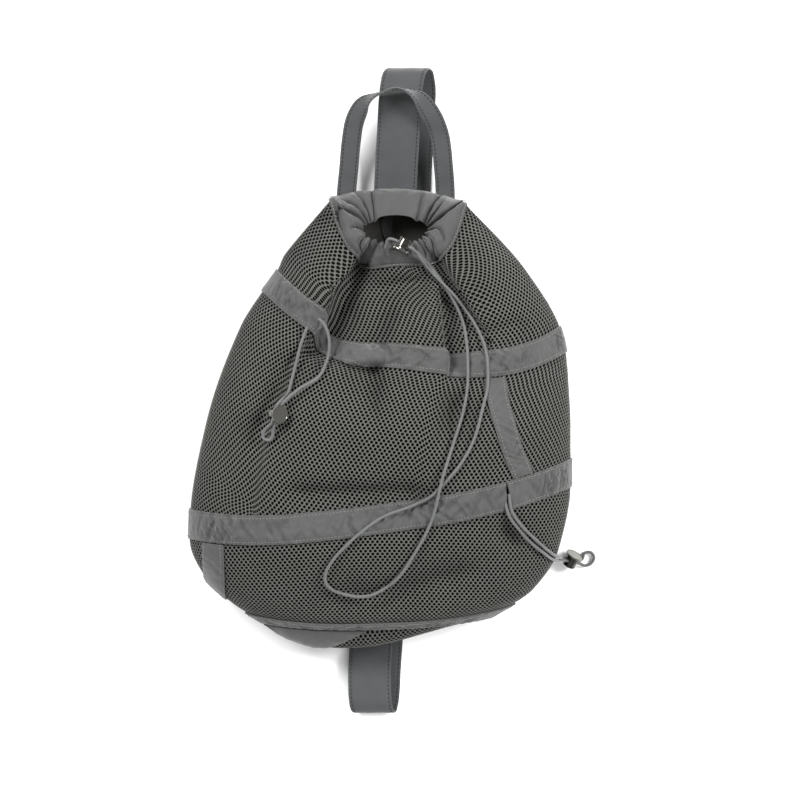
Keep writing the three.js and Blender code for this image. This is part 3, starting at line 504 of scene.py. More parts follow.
def folds_at(x, y):
    """How far the folds sink the cloth and draw it along X and Y at points seen from above."""
    sink = np.zeros_like(x)
    shift_x = np.zeros_like(x)
    shift_y = np.zeros_like(x)
    for fold in FOLDS:
        run = math.hypot(fold.tail_x - fold.head_x, fold.tail_y - fold.head_y)
        along_x = (fold.tail_x - fold.head_x) / run
        along_y = (fold.tail_y - fold.head_y) / run
        share = ((x - fold.head_x) * along_x + (y - fold.head_y) * along_y) / run
        away = (y - fold.head_y) * along_x - (x - fold.head_x) * along_y
        flank = np.where(away < 0, fold.left, fold.right)
        fade = smoothstep(share, 0, fold.head_fade) * smoothstep(1 - share, 0, fold.tail_fade)
        strength = fade * np.exp(-((away / flank) ** 2))
        sink += fold.depth * strength
        shift_y -= fold.slip * strength
        if fold.lean:
            crest = -LEAN_PLACE * fold.left if fold.lean > 0 else LEAN_PLACE * fold.right
            reach = LEAN_REACH * min(fold.left, fold.right)
            tip = np.exp(-(((away - crest) / reach) ** 2)) - LEAN_PULL * np.exp(-((away / reach) ** 2))
            shift_x -= fold.lean * fade * tip * along_y
            shift_y += fold.lean * fade * tip * along_x
    return sink, shift_x, shift_y


def strap_lift(x, y):
    """How far the back of the bag is lifted where it lies over the strap."""
    share = (y - STRAP_UNDER_HEAD[1]) / (STRAP_UNDER_TAIL[1] - STRAP_UNDER_HEAD[1])
    away = np.abs(x - lerp(STRAP_UNDER_HEAD[0], STRAP_UNDER_TAIL[0], share))
    return STRAP_LIFT * (1 - smoothstep(away, STRAP_LIFT_FLAT, STRAP_LIFT_EDGE))


def crown_of(row, x, power):
    """The share across a row, the way out from its middle, and the height of its arch there."""
    share = (x - row.left_x) / (row.right_x - row.left_x)
    side = np.minimum(1, np.abs(2 * share - 1))
    return share, side, np.maximum(0, 1 - side ** power) ** (1 / power)


def front_point(row, x, sunk=1.0, drawn=1.0):
    share, side, crown = crown_of(row, x, FRONT_POWER)
    y = lerp(row.left_y, row.right_y, share) - row.sag * (1 - side ** row.square)
    sink, shift_x, shift_y = folds_at(x, y)
    z = lerp(row.side_z, row.front_z, crown) - sunk * sink * np.sqrt(crown)
    return np.stack([x + drawn * shift_x * crown, y + drawn * shift_y, z], axis=-1)


def back_point(row, x):
    share, _, crown = crown_of(row, x, BACK_POWER)
    y = lerp(row.left_y, row.right_y, share) + row.back_rise * crown
    z = np.maximum(REST_HEIGHT, lerp(row.side_z, row.back_z, crown))
    return np.stack([x, y, z + strap_lift(x, y) * crown], axis=-1)


def bag_point(down, s, sunk=1.0, drawn=1.0):
    """The outer face of the cloth. s is 0 to 1 over the front from left to right and 1 to 2 over the back."""
    down, s = np.broadcast_arrays(np.asarray(down, float), np.asarray(s, float))
    row = row_at(down)
    turn = np.mod(s, 2)
    x = lerp(row.left_x, row.right_x, (1 - np.cos(np.pi * turn)) / 2)
    return np.where((turn <= 1)[..., None], front_point(row, x, sunk, drawn), back_point(row, x))


def unit(vectors):
    return vectors / np.maximum(np.linalg.norm(vectors, axis=-1, keepdims=True), TINY)


def outward(surface, a, s, step):
    """The outward way of a surface. step leads down the bag, so it is a minus where a falls that way."""
    along = surface(a + step, s) - surface(a - step, s)
    round_it = surface(a, s + STEP_ROUND) - surface(a, s - STEP_ROUND)
    return unit(np.cross(along, round_it))


def bag_out(down, s):
    return outward(bag_point, down, s, STEP_DOWN)


def lifted(down, s, height):
    return bag_point(down, s) + bag_out(down, s) * np.asarray(height)[..., None]


def down_where(start, meets):
    """The places along the cloth, after a start, at which its rows come to meet a test."""
    halvings = 30
    low = start
    high = np.full_like(start, BASE_DOWN)
    for _ in range(halvings):
        middle = (low + high) / 2
        met = meets(row_at(middle))
        low = np.where(met, low, middle)
        high = np.where(met, middle, high)
    return low


def height_at(x, y):
    """The height of the bag's front, with its tapes, over points of the floor."""
    down = down_where(np.zeros_like(x), lambda row: front_point(row, x)[..., 1] <= y)
    taped = np.zeros_like(x, bool)
    for tape in (UPPER_TAPE, LOWER_TAPE):
        taped |= (down > tape.top - CORD_REACH) & (down < tape.end + CORD_REACH)
    return front_point(row_at(down), x)[..., 2] + np.where(taped, LAYER_GAP + TAPE_WALL, 0)


def casing_point(w, s):
    """The gathered casing: w is 0 at its seam with the mesh and 1 at the rim of the mouth."""
    w, s = np.broadcast_arrays(np.asarray(w, float), np.asarray(s, float))
    angle = np.pi * (1 + s)
    back = np.maximum(0, np.sin(angle))
    sway = RIM_RIPPLE_SWAY * np.sin(RIM_SWAY_WAVES * np.pi * s)
    ripple = 0.5 + 0.5 * np.sin(2 * np.pi * RIM_RIPPLES * s + sway)
    crease = RIM_RIPPLE_DEPTH * ripple * (1 - back) * smoothstep(w, RIM_RIPPLE_START, 1)
    for pleat in PLEATS:
        away = np.mod(s - lerp(pleat.seam, pleat.rim, w) + 1, 2) - 1
        width = PLEAT_SPREAD * pleat.width
        valley = np.exp(-np.sqrt((away / width) ** 2 + PLEAT_ROUND ** 2) + PLEAT_ROUND)
        crease = crease + pleat.depth * valley * smoothstep(w, 1 - pleat.reach, 1 - pleat.reach / 2)
    spread = 1 + RIM_SPREAD * crease / MOUTH_HALF_DEPTH
    rim = np.stack([
        MOUTH_X + MOUTH_HALF_WIDTH * np.cos(angle) * lerp(1, spread, 0.5),
        MOUTH_Y + MOUTH_HALF_DEPTH * np.sin(angle) * spread,
        lerp(MOUTH_FRONT_Z, MOUTH_BACK_Z, (1 + np.sin(angle)) / 2),
    ], axis=-1)
    puff_way = unit(np.stack([np.zeros_like(back), back, lerp(1, CASING_BACK_RISE, back)], axis=-1))
    puff = lerp(CASING_FRONT_PUFF, CASING_BACK_PUFF, smoothstep(np.sin(angle), -CASING_SIDE, CASING_SIDE))
    height = puff * 4 * w * (1 - w) - crease
    return lerp(bag_point(0, s), rim, w[..., None]) + puff_way * height[..., None]


def base_point(r, s):
    """The base panel: r is 1 at its seam and 0 at its middle."""
    r, s = np.broadcast_arrays(np.asarray(r, float), np.asarray(s, float))
    middle = bag_point(BASE_DOWN, np.array([0, 0.5, 1, 1.5])).mean(axis=0)
    point = lerp(middle, bag_point(BASE_DOWN, s), r[..., None])
    half_width = (ROWS[-1].right_x - ROWS[-1].left_x) / 2
    side = (point[..., 0] - middle[0]) / half_width
    point[..., 1] -= BASE_SWELL * (1 - BASE_SWELL_TILT * side) * (1 - r * r)
    return point


# Meshes

def placed(name, data):
    """A new object in the scene."""
    made = bpy.data.objects.new(name, data)
    bpy.context.scene.collection.objects.link(made)
    return made


def new_object(name, vertices, faces, finish=None, uvs=None, smooth=True):
    """An object at the origin whose mesh holds its place. uvs gives a pair for each corner of each face."""
    mesh = bpy.data.meshes.new(name)
    mesh.from_pydata(np.asarray(vertices, float).tolist(), [], [list(map(int, face)) for face in faces])
    if uvs is not None:
        layer = mesh.uv_layers.new(name="cloth")
        layer.data.foreach_set("uv", np.asarray(uvs, np.float32).ravel())
    if smooth:
        mesh.polygons.foreach_set("use_smooth", [True] * len(mesh.polygons))
        mesh.set_sharp_from_angle(angle=CLOTH_SHARP)
    mesh.update()
    if finish:
        mesh.materials.append(finish)
    return placed(name, mesh)


def run_along(points, axis):
    """The way along a grid of points, from 0 at its first row or column."""
    steps = np.linalg.norm(np.diff(points, axis=axis), axis=-1)
    start = np.zeros_like(np.take(steps, [0], axis=axis))
    return np.concatenate([start, np.cumsum(steps, axis=axis)], axis=axis)


def cloth_wall(name, outer, inner, finish, closed=False):
    """A closed wall between two grids of points, with a UV map in metres along the cloth."""
    if closed:
        outer = np.concatenate([outer, outer[:, :1]], axis=1)
        inner = np.concatenate([inner, inner[:, :1]], axis=1)
    rows, columns = outer.shape[:2]
    uv = np.stack([run_along(outer, 1), run_along(outer, 0)], axis=-1).reshape(-1, 2)
    ids = np.arange(rows * columns).reshape(rows, columns)
    vertex = ids % columns
    vertex = np.where(vertex == columns - 1, 0, vertex) if closed else vertex
    vertex = vertex + np.arange(rows)[:, None] * columns
    inside = rows * columns
    a, b, c, d = ids[:-1, :-1], ids[1:, :-1], ids[1:, 1:], ids[:-1, 1:]
    head, head_next = ids[:1, :-1], ids[:1, 1:]
    tail, tail_next = ids[-1:, :-1], ids[-1:, 1:]
    quads = [
        (a, b, c, d, 0, 0, 0, 0), (a, d, c, b, 1, 1, 1, 1),
        (head, head_next, head_next, head, 0, 0, 1, 1), (tail, tail, tail_next, tail_next, 0, 1, 1, 0),
    ]
    if not closed:
        left, left_next = ids[:-1, :1], ids[1:, :1]
        right, right_next = ids[:-1, -1:], ids[1:, -1:]
        quads += [
            (left, left, left_next, left_next, 0, 1, 1, 0),
            (right, right_next, right_next, right, 0, 0, 1, 1),
        ]
    corners = []
    layers = []
    for quad in quads:
        corners.append(np.stack([part.ravel() for part in quad[:4]], axis=1))
        layers.append(np.tile(quad[4:], (corners[-1].shape[0], 1)))
    corners = np.concatenate(corners)
    layers = np.concatenate(layers)
    faces = vertex.ravel()[corners] + layers * inside
    points = np.concatenate([outer.reshape(-1, 3), inner.reshape(-1, 3)])
    used, faces = np.unique(faces, return_inverse=True)
    faces = faces.reshape(-1, 4)
    return new_object(name, points[used], faces, finish, uv[corners].reshape(-1, 2))


def finish_piece(piece, slot, *nodes, body="bag"):
    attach(piece, body)
    if nodes:
        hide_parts(*nodes)
    return piece


def catmull_rom(points, per_span):
    """A smooth line through points, evenly divided between each two of them."""
    points = np.asarray(points, float)
    ends = np.concatenate([[2 * points[0] - points[1]], points, [2 * points[-1] - points[-2]]])
    line = []
    t = np.arange(per_span)[:, None] / per_span
    for p0, p1, p2, p3 in zip(ends, ends[1:], ends[2:], ends[3:]):
        pairs = ((p0, p1), (p1, p2), (p2, p3))
        d0, d1, d2 = (math.sqrt(max(np.linalg.norm(b - a), TINY)) for a, b in pairs)
        m1 = ((p1 - p0) / d0 - (p2 - p0) / (d0 + d1) + (p2 - p1) / d1) * d1
        m2 = ((p2 - p1) / d1 - (p3 - p1) / (d1 + d2) + (p3 - p2) / d2) * d1
        line.append(p1 + m1 * t + (3 * (p2 - p1) - 2 * m1 - m2) * t ** 2 + (2 * (p1 - p2) + m1 + m2) * t ** 3)
    return np.concatenate([*line, points[-1:]])


def respaced(line, step):
    """The same line with points about step apart."""
    way = run_along(line, 0)
    count = max(2, math.ceil(way[-1] / step) + 1)
    marks = np.linspace(0, way[-1], count)
    return np.stack([np.interp(marks, way, line[:, k]) for k in range(3)], axis=-1)


def crumple(u, v, scale, seed):
    """Creased unevenness of cloth at places along it, from about -1 to 1."""
    flat = [noise.noise(Vector((a / scale, b / scale, seed))) for a, b in zip(np.ravel(u), np.ravel(v))]
    return np.array(flat).reshape(np.shape(u))


# Shader groups and materials

def node(tree, kind, inputs=(), **settings):
    """A new shader node with its settings, and its inputs set or linked."""
    made = tree.nodes.new(kind)
    for name, value in settings.items():
        setattr(made, name, value)
    for name, value in dict(inputs).items():
        if isinstance(value, bpy.types.NodeSocket):
            tree.links.new(value, made.inputs[name])
        else:
            made.inputs[name].default_value = value
    return made


def math_node(tree, operation, *values):
    return node(tree, "ShaderNodeMath", dict(enumerate(values)), operation=operation).outputs[0]


def scaled(tree, vector, factor):
    return node(tree, "ShaderNodeVectorMath", {0: vector, "Scale": factor}, operation="SCALE").outputs[0]


def spread(tree, value, source, target):
    """A value moved from one range to another."""
    ends = {"From Min": source[0], "From Max": source[1], "To Min": target[0], "To Max": target[1]}
    return node(tree, "ShaderNodeMapRange", {"Value": value, **ends}).outputs[0]


def object_place(tree):
    return node(tree, "ShaderNodeTexCoord").outputs["Object"]


def cloth_place(tree):
    """The way round and the way along, on the cloth's own map."""
    place = node(tree, "ShaderNodeUVMap", uv_map="cloth").outputs["UV"]
    return node(tree, "ShaderNodeSeparateXYZ", {0: place}).outputs


def new_group(name, inputs, outputs):
    """A shader node group with named sockets, its input node and its output node."""
    tree = bpy.data.node_groups.new(name, "ShaderNodeTree")
    for label, kind, default in inputs:
        socket = tree.interface.new_socket(label, in_out="INPUT", socket_type=kind)
        socket.default_value = default
    for label, kind in outputs:
        tree.interface.new_socket(label, in_out="OUTPUT", socket_type=kind)
    return tree, tree.nodes.new("NodeGroupInput"), tree.nodes.new("NodeGroupOutput")


def mottle_group():
    """Uneven dye and soiling: a colour that is a little lighter and darker from place to place."""
    inputs = [("Colour", "NodeSocketColor", (0.5, 0.5, 0.5, 1)), ("Scale", "NodeSocketFloat", 40.0),
              ("Amount", "NodeSocketFloat", 0.2)]
    tree, source, result = new_group("cloth_mottle", inputs, [("Colour", "NodeSocketColor")])
    patches = node(tree, "ShaderNodeTexNoise", {
        "Vector": object_place(tree), "Scale": source.outputs["Scale"], "Detail": 4.0, "Roughness": 0.6})
    centred = math_node(tree, "SUBTRACT", patches.outputs["Fac"], 0.5)
    gain = math_node(tree, "MULTIPLY_ADD", centred, source.outputs["Amount"], 1.0)
    tree.links.new(scaled(tree, source.outputs["Colour"], gain), result.inputs["Colour"])


def weave_group():
    """A plain weave that follows the cloth: thread height, and a shade for the gaps between threads."""
    outputs = [("Height", "NodeSocketFloat"), ("Shade", "NodeSocketFloat")]
    tree, source, result = new_group("plain_weave", [("Threads", "NodeSocketFloat", 2500.0)], outputs)
    turns = math_node(tree, "MULTIPLY", source.outputs["Threads"], math.pi)
    round_it, along, _ = cloth_place(tree)
    weft = math_node(tree, "SINE", math_node(tree, "MULTIPLY", round_it, turns))
    warp = math_node(tree, "SINE", math_node(tree, "MULTIPLY", along, turns))
    height = math_node(tree, "MULTIPLY", weft, warp)
    tree.links.new(height, result.inputs["Height"])
    tree.links.new(spread(tree, height, (-1.0, 1.0), (0.86, 1.08)), result.inputs["Shade"])


def new_material(name, **values):
    """The tree and the shader of a new material, with plain values set on the shader's own sockets."""
    made = bpy.data.materials.new(name)
    made.use_nodes = True
    shader = made.node_tree.nodes["Principled BSDF"]
    for label, value in values.items():
        shader.inputs[label].default_value = value
    return made.node_tree, shader


def mottled(tree, colour, scale, amount):
    """A colour made uneven from place to place."""
    values = {"Colour": tuple(colour), "Scale": scale, "Amount": amount}
    return node(tree, "ShaderNodeGroup", values, node_tree=bpy.data.node_groups["cloth_mottle"]).outputs[0]


def finish_shader(tree, shader, colour, height, strength, distance):
    """Links a colour to a shader, and a height as bump."""
    tree.links.new(colour, shader.inputs["Base Color"])
    bump = node(tree, "ShaderNodeBump", {"Height": height, "Strength": strength, "Distance": distance})
    tree.links.new(bump.outputs[0], shader.inputs["Normal"])


def woven_material(name, colour, threads, roughness, creased):
    """Woven nylon: weave, uneven dye, fine creases and a dull sheen."""
    values = {"Sheen Weight": 0.25, "Sheen Roughness": 0.4, "Specular IOR Level": 0.35}
    tree, shader = new_material(name, Roughness=roughness, **values)
    weave = node(tree, "ShaderNodeGroup", {"Threads": threads}, node_tree=bpy.data.node_groups["plain_weave"])
    woven = scaled(tree, mottled(tree, colour, scale=55.0, amount=0.35), weave.outputs["Shade"])
    creases = node(tree, "ShaderNodeTexNoise", {
        "Vector": object_place(tree), "Scale": 160.0, "Detail": 5.0, "Roughness": 0.55})
    height = math_node(tree, "MULTIPLY_ADD", creases.outputs["Fac"], creased, weave.outputs["Height"])
    finish_shader(tree, shader, woven, height, strength=0.5, distance=0.00012)


def strand_material():
    """Knit strands of the mesh: matt yarn with fine loops."""
    values = {"Roughness": 0.78, "Sheen Weight": 0.1, "Sheen Roughness": 0.5, "Specular IOR Level": 0.3}
    tree, shader = new_material("knit_strand", **values)
    loops = node(tree, "ShaderNodeTexVoronoi", {"Vector": object_place(tree), "Scale": 1900.0})
    shade = spread(tree, loops.outputs["Distance"], (0.0, 0.7), (1.15, 0.7))
    yarn = scaled(tree, mottled(tree, colours().strand, scale=30.0, amount=0.3), shade)
    finish_shader(tree, shader, yarn, shade, strength=0.6, distance=0.0002)


def dark_knit_material(name, colour):
    """Dark knit: the inner face of the mesh, and the back face and hole walls seen down its holes, whose near
    black colours are painted shade.
    """
    tree, shader = new_material(name, Roughness=0.9, **{"Specular IOR Level": 0.05})
    tone = mottled(tree, colour, scale=60.0, amount=0.4)
    loops = node(tree, "ShaderNodeTexVoronoi", {"Vector": object_place(tree), "Scale": 900.0})
    finish_shader(tree, shader, tone, loops.outputs["Distance"], strength=0.6, distance=0.0003)


def cord_material():
    """Braided elastic: two sets of slanting yarns round the cord."""
    tree, shader = new_material("elastic_braid", Roughness=0.55, **{"Sheen Weight": 0.15})
    turns = 5.0
    plaits = 900.0
    round_it, along, _ = cloth_place(tree)
    turning = math_node(tree, "MULTIPLY", round_it, 2 * math.pi * turns)
    running = math_node(tree, "MULTIPLY", along, 2 * math.pi * plaits)
    one = math_node(tree, "SINE", math_node(tree, "ADD", turning, running))
    two = math_node(tree, "SINE", math_node(tree, "SUBTRACT", turning, running))
    braid = math_node(tree, "MAXIMUM", one, two)
    shade = spread(tree, braid, (-1.0, 1.0), (0.6, 1.1))
    yarn = scaled(tree, mottled(tree, colours().cord, scale=80.0, amount=0.25), shade)
    finish_shader(tree, shader, yarn, braid, strength=0.5, distance=0.00015)


def thread_material(name, colour):
    """Twisted sewing thread."""
    tree, shader = new_material(name, Roughness=0.6, **{"Specular IOR Level": 0.1})
    tone = mottled(tree, colour, scale=300.0, amount=0.5)
    twist = node(tree, "ShaderNodeTexWave", {"Vector": object_place(tree), "Scale": 700.0},
                 bands_direction="DIAGONAL")
    finish_shader(tree, shader, tone, twist.outputs["Fac"], strength=0.4, distance=0.0001)


def metal_material(name, colour, roughness):
    """Nickel-plated metal with a little uneven polish and fine scratches."""
    tree, shader = new_material(name, Metallic=1.0)
    tone = mottled(tree, colour, scale=200.0, amount=0.25)
    place = object_place(tree)
    smears = node(tree, "ShaderNodeTexNoise", {"Vector": place, "Scale": 350.0, "Detail": 3.0})
    rough = spread(tree, smears.outputs["Fac"], (0.3, 0.7), (roughness * 0.7, roughness * 1.4))
    tree.links.new(rough, shader.inputs["Roughness"])
    scratches = node(tree, "ShaderNodeTexNoise", {"Vector": place, "Scale": 1500.0, "Detail": 2.0})
    finish_shader(tree, shader, tone, scratches.outputs["Fac"], strength=0.1, distance=0.00005)


def floor_material():
    tree, shader = new_material("pale_floor", Roughness=0.9)
    tree.links.new(mottled(tree, colours().floor, scale=3.0, amount=0.02), shader.inputs["Base Color"])


def make_materials():
    """Each shader group and material, built once."""
    mottle_group()
    weave_group()
    shade = colours()
    strand_material()
    # The back face and the hole walls of the mesh are painted near black as the shade in the holes; the inner
    # face keeps the knit's own colour.
    dark_knit_material("knit_back_painted_shade", shade.knit_back_painted_shade)
    dark_knit_material("knit_bore_painted_shade", shade.knit_bore_painted_shade)
    dark_knit_material("knit_inside", shade.knit_inside)
    cord_material()
    woven_material("woven_tape", shade.tape, threads=2600.0, roughness=0.6, creased=12.0)
    woven_material("woven_strap", shade.strap, threads=1900.0, roughness=0.65, creased=5.0)
    thread_material("light_thread", shade.light_thread)
    thread_material("dark_thread_painted_shade", shade.dark_thread_painted_shade)
    metal_material("lock_barrel_metal", shade.barrel, roughness=0.14)
    metal_material("lock_button_metal", shade.button, roughness=0.09)
    floor_material()


def material(name):
    return bpy.data.materials[name]


# Geometry Nodes trees

def geometry_tree(name, inputs):
    """A Geometry Nodes tree with a geometry in and out, and named inputs for its sizes."""
    tree = bpy.data.node_groups.new(name, "GeometryNodeTree")
    tree.interface.new_socket("Geometry", in_out="INPUT", socket_type="NodeSocketGeometry")
    for label, kind in inputs:
        tree.interface.new_socket(label, in_out="INPUT", socket_type=kind)
    tree.interface.new_socket("Geometry", in_out="OUTPUT", socket_type="NodeSocketGeometry")
    return tree, tree.nodes.new("NodeGroupInput"), tree.nodes.new("NodeGroupOutput")


def dressed(tree, geometry, finish):
    """Real, smooth faces with a material."""
    real = node(tree, "GeometryNodeRealizeInstances", {0: geometry})
    smooth = node(tree, "GeometryNodeSetShadeSmooth", {0: real.outputs[0]})
    values = {"Geometry": smooth.outputs[0], "Material": finish}
    return node(tree, "GeometryNodeSetMaterial", values).outputs[0]


def net_tree():
    """Each face of a sheet becomes a hole with a rounded strand about it, and the hole's walls get a material
    of painted shade.
    """
    tree, source, result = geometry_tree("knit_holes", [
        ("Hole Height", "NodeSocketFloat"), ("Hole Slimness", "NodeSocketFloat"),
        ("Strand Drop", "NodeSocketFloat"), ("Hole Depth", "NodeSocketFloat"),
        ("Painted Shade Bore Material", "NodeSocketMaterial"), ("Material", "NodeSocketMaterial")])
    drop = math_node(tree, "MULTIPLY", source.outputs["Strand Drop"], -1.0)
    rim = node(tree, "GeometryNodeExtrudeMesh", {"Mesh": source.outputs["Geometry"], "Offset Scale": drop,
                                                 "Individual": True}, mode="FACES")
    lowered = node(tree, "GeometryNodeScaleElements", {
        "Geometry": rim.outputs["Mesh"], "Selection": rim.outputs["Top"],
        "Scale": source.outputs["Hole Height"]},
        domain="FACE")
    row_way = node(tree, "GeometryNodeInputNamedAttribute", {"Name": "row_way"}, data_type="FLOAT_VECTOR")
    narrowed = node(tree, "GeometryNodeScaleElements", {
        "Geometry": lowered.outputs[0], "Selection": rim.outputs["Top"],
        "Scale": source.outputs["Hole Slimness"], "Axis": row_way.outputs["Attribute"]},
        domain="FACE", scale_mode="SINGLE_AXIS")
    sink = math_node(tree, "MULTIPLY", source.outputs["Hole Depth"], -1.0)
    bore = node(tree, "GeometryNodeExtrudeMesh", {
        "Mesh": narrowed.outputs[0], "Selection": rim.outputs["Top"], "Offset Scale": sink,
        "Individual": True}, mode="FACES")
    opened = node(tree, "GeometryNodeDeleteGeometry", {
        0: bore.outputs["Mesh"], "Selection": bore.outputs["Top"]}, domain="FACE")
    strands = dressed(tree, opened.outputs[0], source.outputs["Material"])
    # The walls of the holes get the material of painted shade, near black where the yarn lies in shadow.
    painted_shade_bores = node(tree, "GeometryNodeSetMaterial", {
        "Geometry": strands, "Selection": bore.outputs["Side"], "Material": source.outputs["Painted Shade Bore Material"]})
    tree.links.new(painted_shade_bores.outputs[0], result.inputs[0])


def stitch_tree():
    """Stitches along lines of cloth, each a short thread that lies on the face it sews."""
    tree, source, result = geometry_tree("stitch_row", [
        ("Pitch", "NodeSocketFloat"), ("Length", "NodeSocketFloat"), ("Thread", "NodeSocketFloat"),
        ("Material", "NodeSocketMaterial")])
    seam = node(tree, "GeometryNodeMeshToCurve", {0: source.outputs["Geometry"]})
    marks = node(tree, "GeometryNodeResampleCurve", {
        "Curve": seam.outputs[0], "Length": source.outputs["Pitch"]}, mode="LENGTH")
    ball = node(tree, "GeometryNodeMeshUVSphere", {
        "Segments": STITCH_SIDES, "Rings": STITCH_RINGS, "Radius": 0.5})
    along = node(tree, "GeometryNodeInputTangent")
    face_way = node(tree, "GeometryNodeInputNamedAttribute", {"Name": "face_way"}, data_type="FLOAT_VECTOR")
    laid = node(tree, "FunctionNodeAlignRotationToVector", {"Vector": along.outputs[0]}, axis="X")
    turned = node(tree, "FunctionNodeAlignRotationToVector", {
        "Rotation": laid.outputs[0], "Vector": face_way.outputs["Attribute"]}, axis="Z", pivot_axis="X")
    shape = node(tree, "ShaderNodeCombineXYZ", {
        "X": source.outputs["Length"], "Y": source.outputs["Thread"], "Z": source.outputs["Thread"]})
    stitches = node(tree, "GeometryNodeInstanceOnPoints", {
        "Points": marks.outputs[0], "Instance": ball.outputs["Mesh"], "Rotation": turned.outputs[0],
        "Scale": shape.outputs[0]})
    tree.links.new(dressed(tree, stitches.outputs[0], source.outputs["Material"]), result.inputs[0])


def baked(piece):
    """Keeps what the modifiers of a piece make of it as its plain mesh."""
    graph = bpy.context.evaluated_depsgraph_get()
    made = bpy.data.meshes.new_from_object(piece.evaluated_get(graph), depsgraph=graph)
    old = piece.data
    piece.modifiers.clear()
    piece.data = made
    bpy.data.meshes.remove(old)
    made.name = piece.name
    return made


def through_tree(piece, tree, values):
    """Runs a piece through a tree with its inputs set, and keeps the result as a plain mesh."""
    modifier = piece.modifiers.new(tree.name, "NODES")
    modifier.node_group = tree
    for socket in tree.interface.items_tree:
        if socket.in_out == "INPUT" and socket.name in values:
            modifier[socket.identifier] = values[socket.name]
    if not baked(piece).polygons:
        raise RuntimeError(f"{piece.name} came out of its tree with no faces")
    return piece


def sewn(name, lines, thread, pitch, length):
    """One piece of stitches along lines. Each line is its points and the outward way at each of them."""
    points = np.concatenate([line for line, _ in lines])
    ways = np.concatenate([way for _, way in lines])
    edges = []
    start = 0
    for line, _ in lines:
        edges += [(start + i, start + i + 1) for i in range(len(line) - 1)]
        start += len(line)
    mesh = bpy.data.meshes.new(name)
    mesh.from_pydata(points.tolist(), edges, [])
    attribute = mesh.attributes.new("face_way", "FLOAT_VECTOR", "POINT")
    attribute.data.foreach_set("vector", ways.astype(np.float32).ravel())
    return through_tree(placed(name, mesh), bpy.data.node_groups["stitch_row"], {
        "Pitch": pitch, "Length": length, "Thread": sizes().thread, "Material": thread})


# The knit mesh

def hex_cells(rows, columns):
    """Six-sided cells of a lattice of points, two levels of points to a row of cells."""
    cells = []
    for i in range(rows):
        middle = np.arange(2 + i % 2, columns - 2, 2)
        below_tip, below, above, above_tip = (2 * i + k for k in range(4))
        corners = [(above_tip, 0), (above, 1), (below, 1), (below_tip, 0), (below, -1), (above, -1)]
        cells.append(np.stack([level * columns + middle + side for level, side in corners], axis=1))
    return np.concatenate(cells)


def lattice_levels(rows, row):
    """The levels of a lattice's points, two to each row of cells."""
    return np.array([(i + third / 3) * row for i in range(-1, rows) for third in (1, 2)])


def real_cells(points, cells):
    """Which cells have a size worth keeping."""
    corner = points[cells]
    spokes = corner - corner.mean(axis=1, keepdims=True)
    area = np.linalg.norm(np.cross(spokes, np.roll(spokes, -1, axis=1)).sum(axis=1), axis=-1) / 2
    return area > CELL_LEAST * sizes().cell_pitch * sizes().row_pitch


def net_cells(head, tail, upwards, zones):
    """Points and cells of a knit over a panel, its rows evenly spaced from one edge, and each cell's s."""
    pitch = sizes().cell_pitch
    row = sizes().row_pitch
    around = np.linspace(-0.5, 1.5, LATTICE_COLUMNS)
    downs = np.linspace(tail, head, LATTICE_ROWS) if upwards else np.linspace(head, tail, LATTICE_ROWS)
    points, cells, places = [], [], []
    start = 0
    for zone in zones:
        run = run_along(bag_point(downs[:, None], around[None, :], 0.0, zone.drawn), 0)
        rows = int(run[-1].max() / row) + NET_MARGIN
        levels = lattice_levels(rows, row)
        level_downs = np.stack([np.interp(levels, run[:, k], downs) for k in range(len(around))], axis=1)
        way = run_along(bag_point(level_downs, around[None, :], 0.0, zone.drawn), 1)
        share = (level_downs.mean(axis=1) - head) / (tail - head)
        anchors = lerp(zone.anchor_head, zone.anchor_tail, share)
        starts = [np.interp(anchor, around, level_way) for anchor, level_way in zip(anchors, way)]
        counted = way - np.array(starts)[:, None]
        half = int(np.abs(counted).max() / pitch) + NET_MARGIN
        marks = np.arange(-2 * half, 2 * half + 1) * pitch / 2
        s = np.stack([np.interp(marks, counted[k], around) for k in range(len(levels))])
        d = np.stack([np.interp(marks, counted[k], level_downs[k]) for k in range(len(levels))])
        lattice = bag_point(d, s).reshape(-1, 3)
        grid = hex_cells(rows, len(marks))
        grid = grid[:, TURNED_OVER] if upwards else grid
        place = s.ravel()[grid].mean(axis=1)
        share = (d.ravel()[grid].mean(axis=1) - head) / (tail - head)
        kept = real_cells(lattice, grid)
        kept &= place >= lerp(zone.low_head, zone.low_tail, share)
        kept &= place < lerp(zone.high_head, zone.high_tail, share)
        points.append(lattice)
        cells.append(grid[kept] + start)
        places.append(place[kept])
        start += len(lattice)
    return np.concatenate(points), np.concatenate(cells), np.concatenate(places)


def base_place(x, z):
    """The measures r and s of places on the base panel, seen straight on."""
    rim_s = np.linspace(0, 2, RIM_MARKS)
    rim = base_point(1.0, rim_s)
    middle = base_point(0.0, 0.0)
    rim_angle = np.mod(np.arctan2(rim[:, 2] - middle[2], rim[:, 0] - middle[0]), 2 * np.pi)
    order = np.argsort(rim_angle)
    rim_reach = np.hypot(rim[:, 0] - middle[0], rim[:, 2] - middle[2])[order]
    rim_angle = rim_angle[order]
    angle = np.mod(np.arctan2(z - middle[2], x - middle[0]), 2 * np.pi)
    reach = np.interp(angle, rim_angle, rim_reach, period=2 * np.pi)
    s = rim_s[order][np.clip(np.searchsorted(rim_angle, angle), 0, RIM_MARKS - 1)]
    return np.minimum(1.0, np.hypot(x - middle[0], z - middle[2]) / reach), s


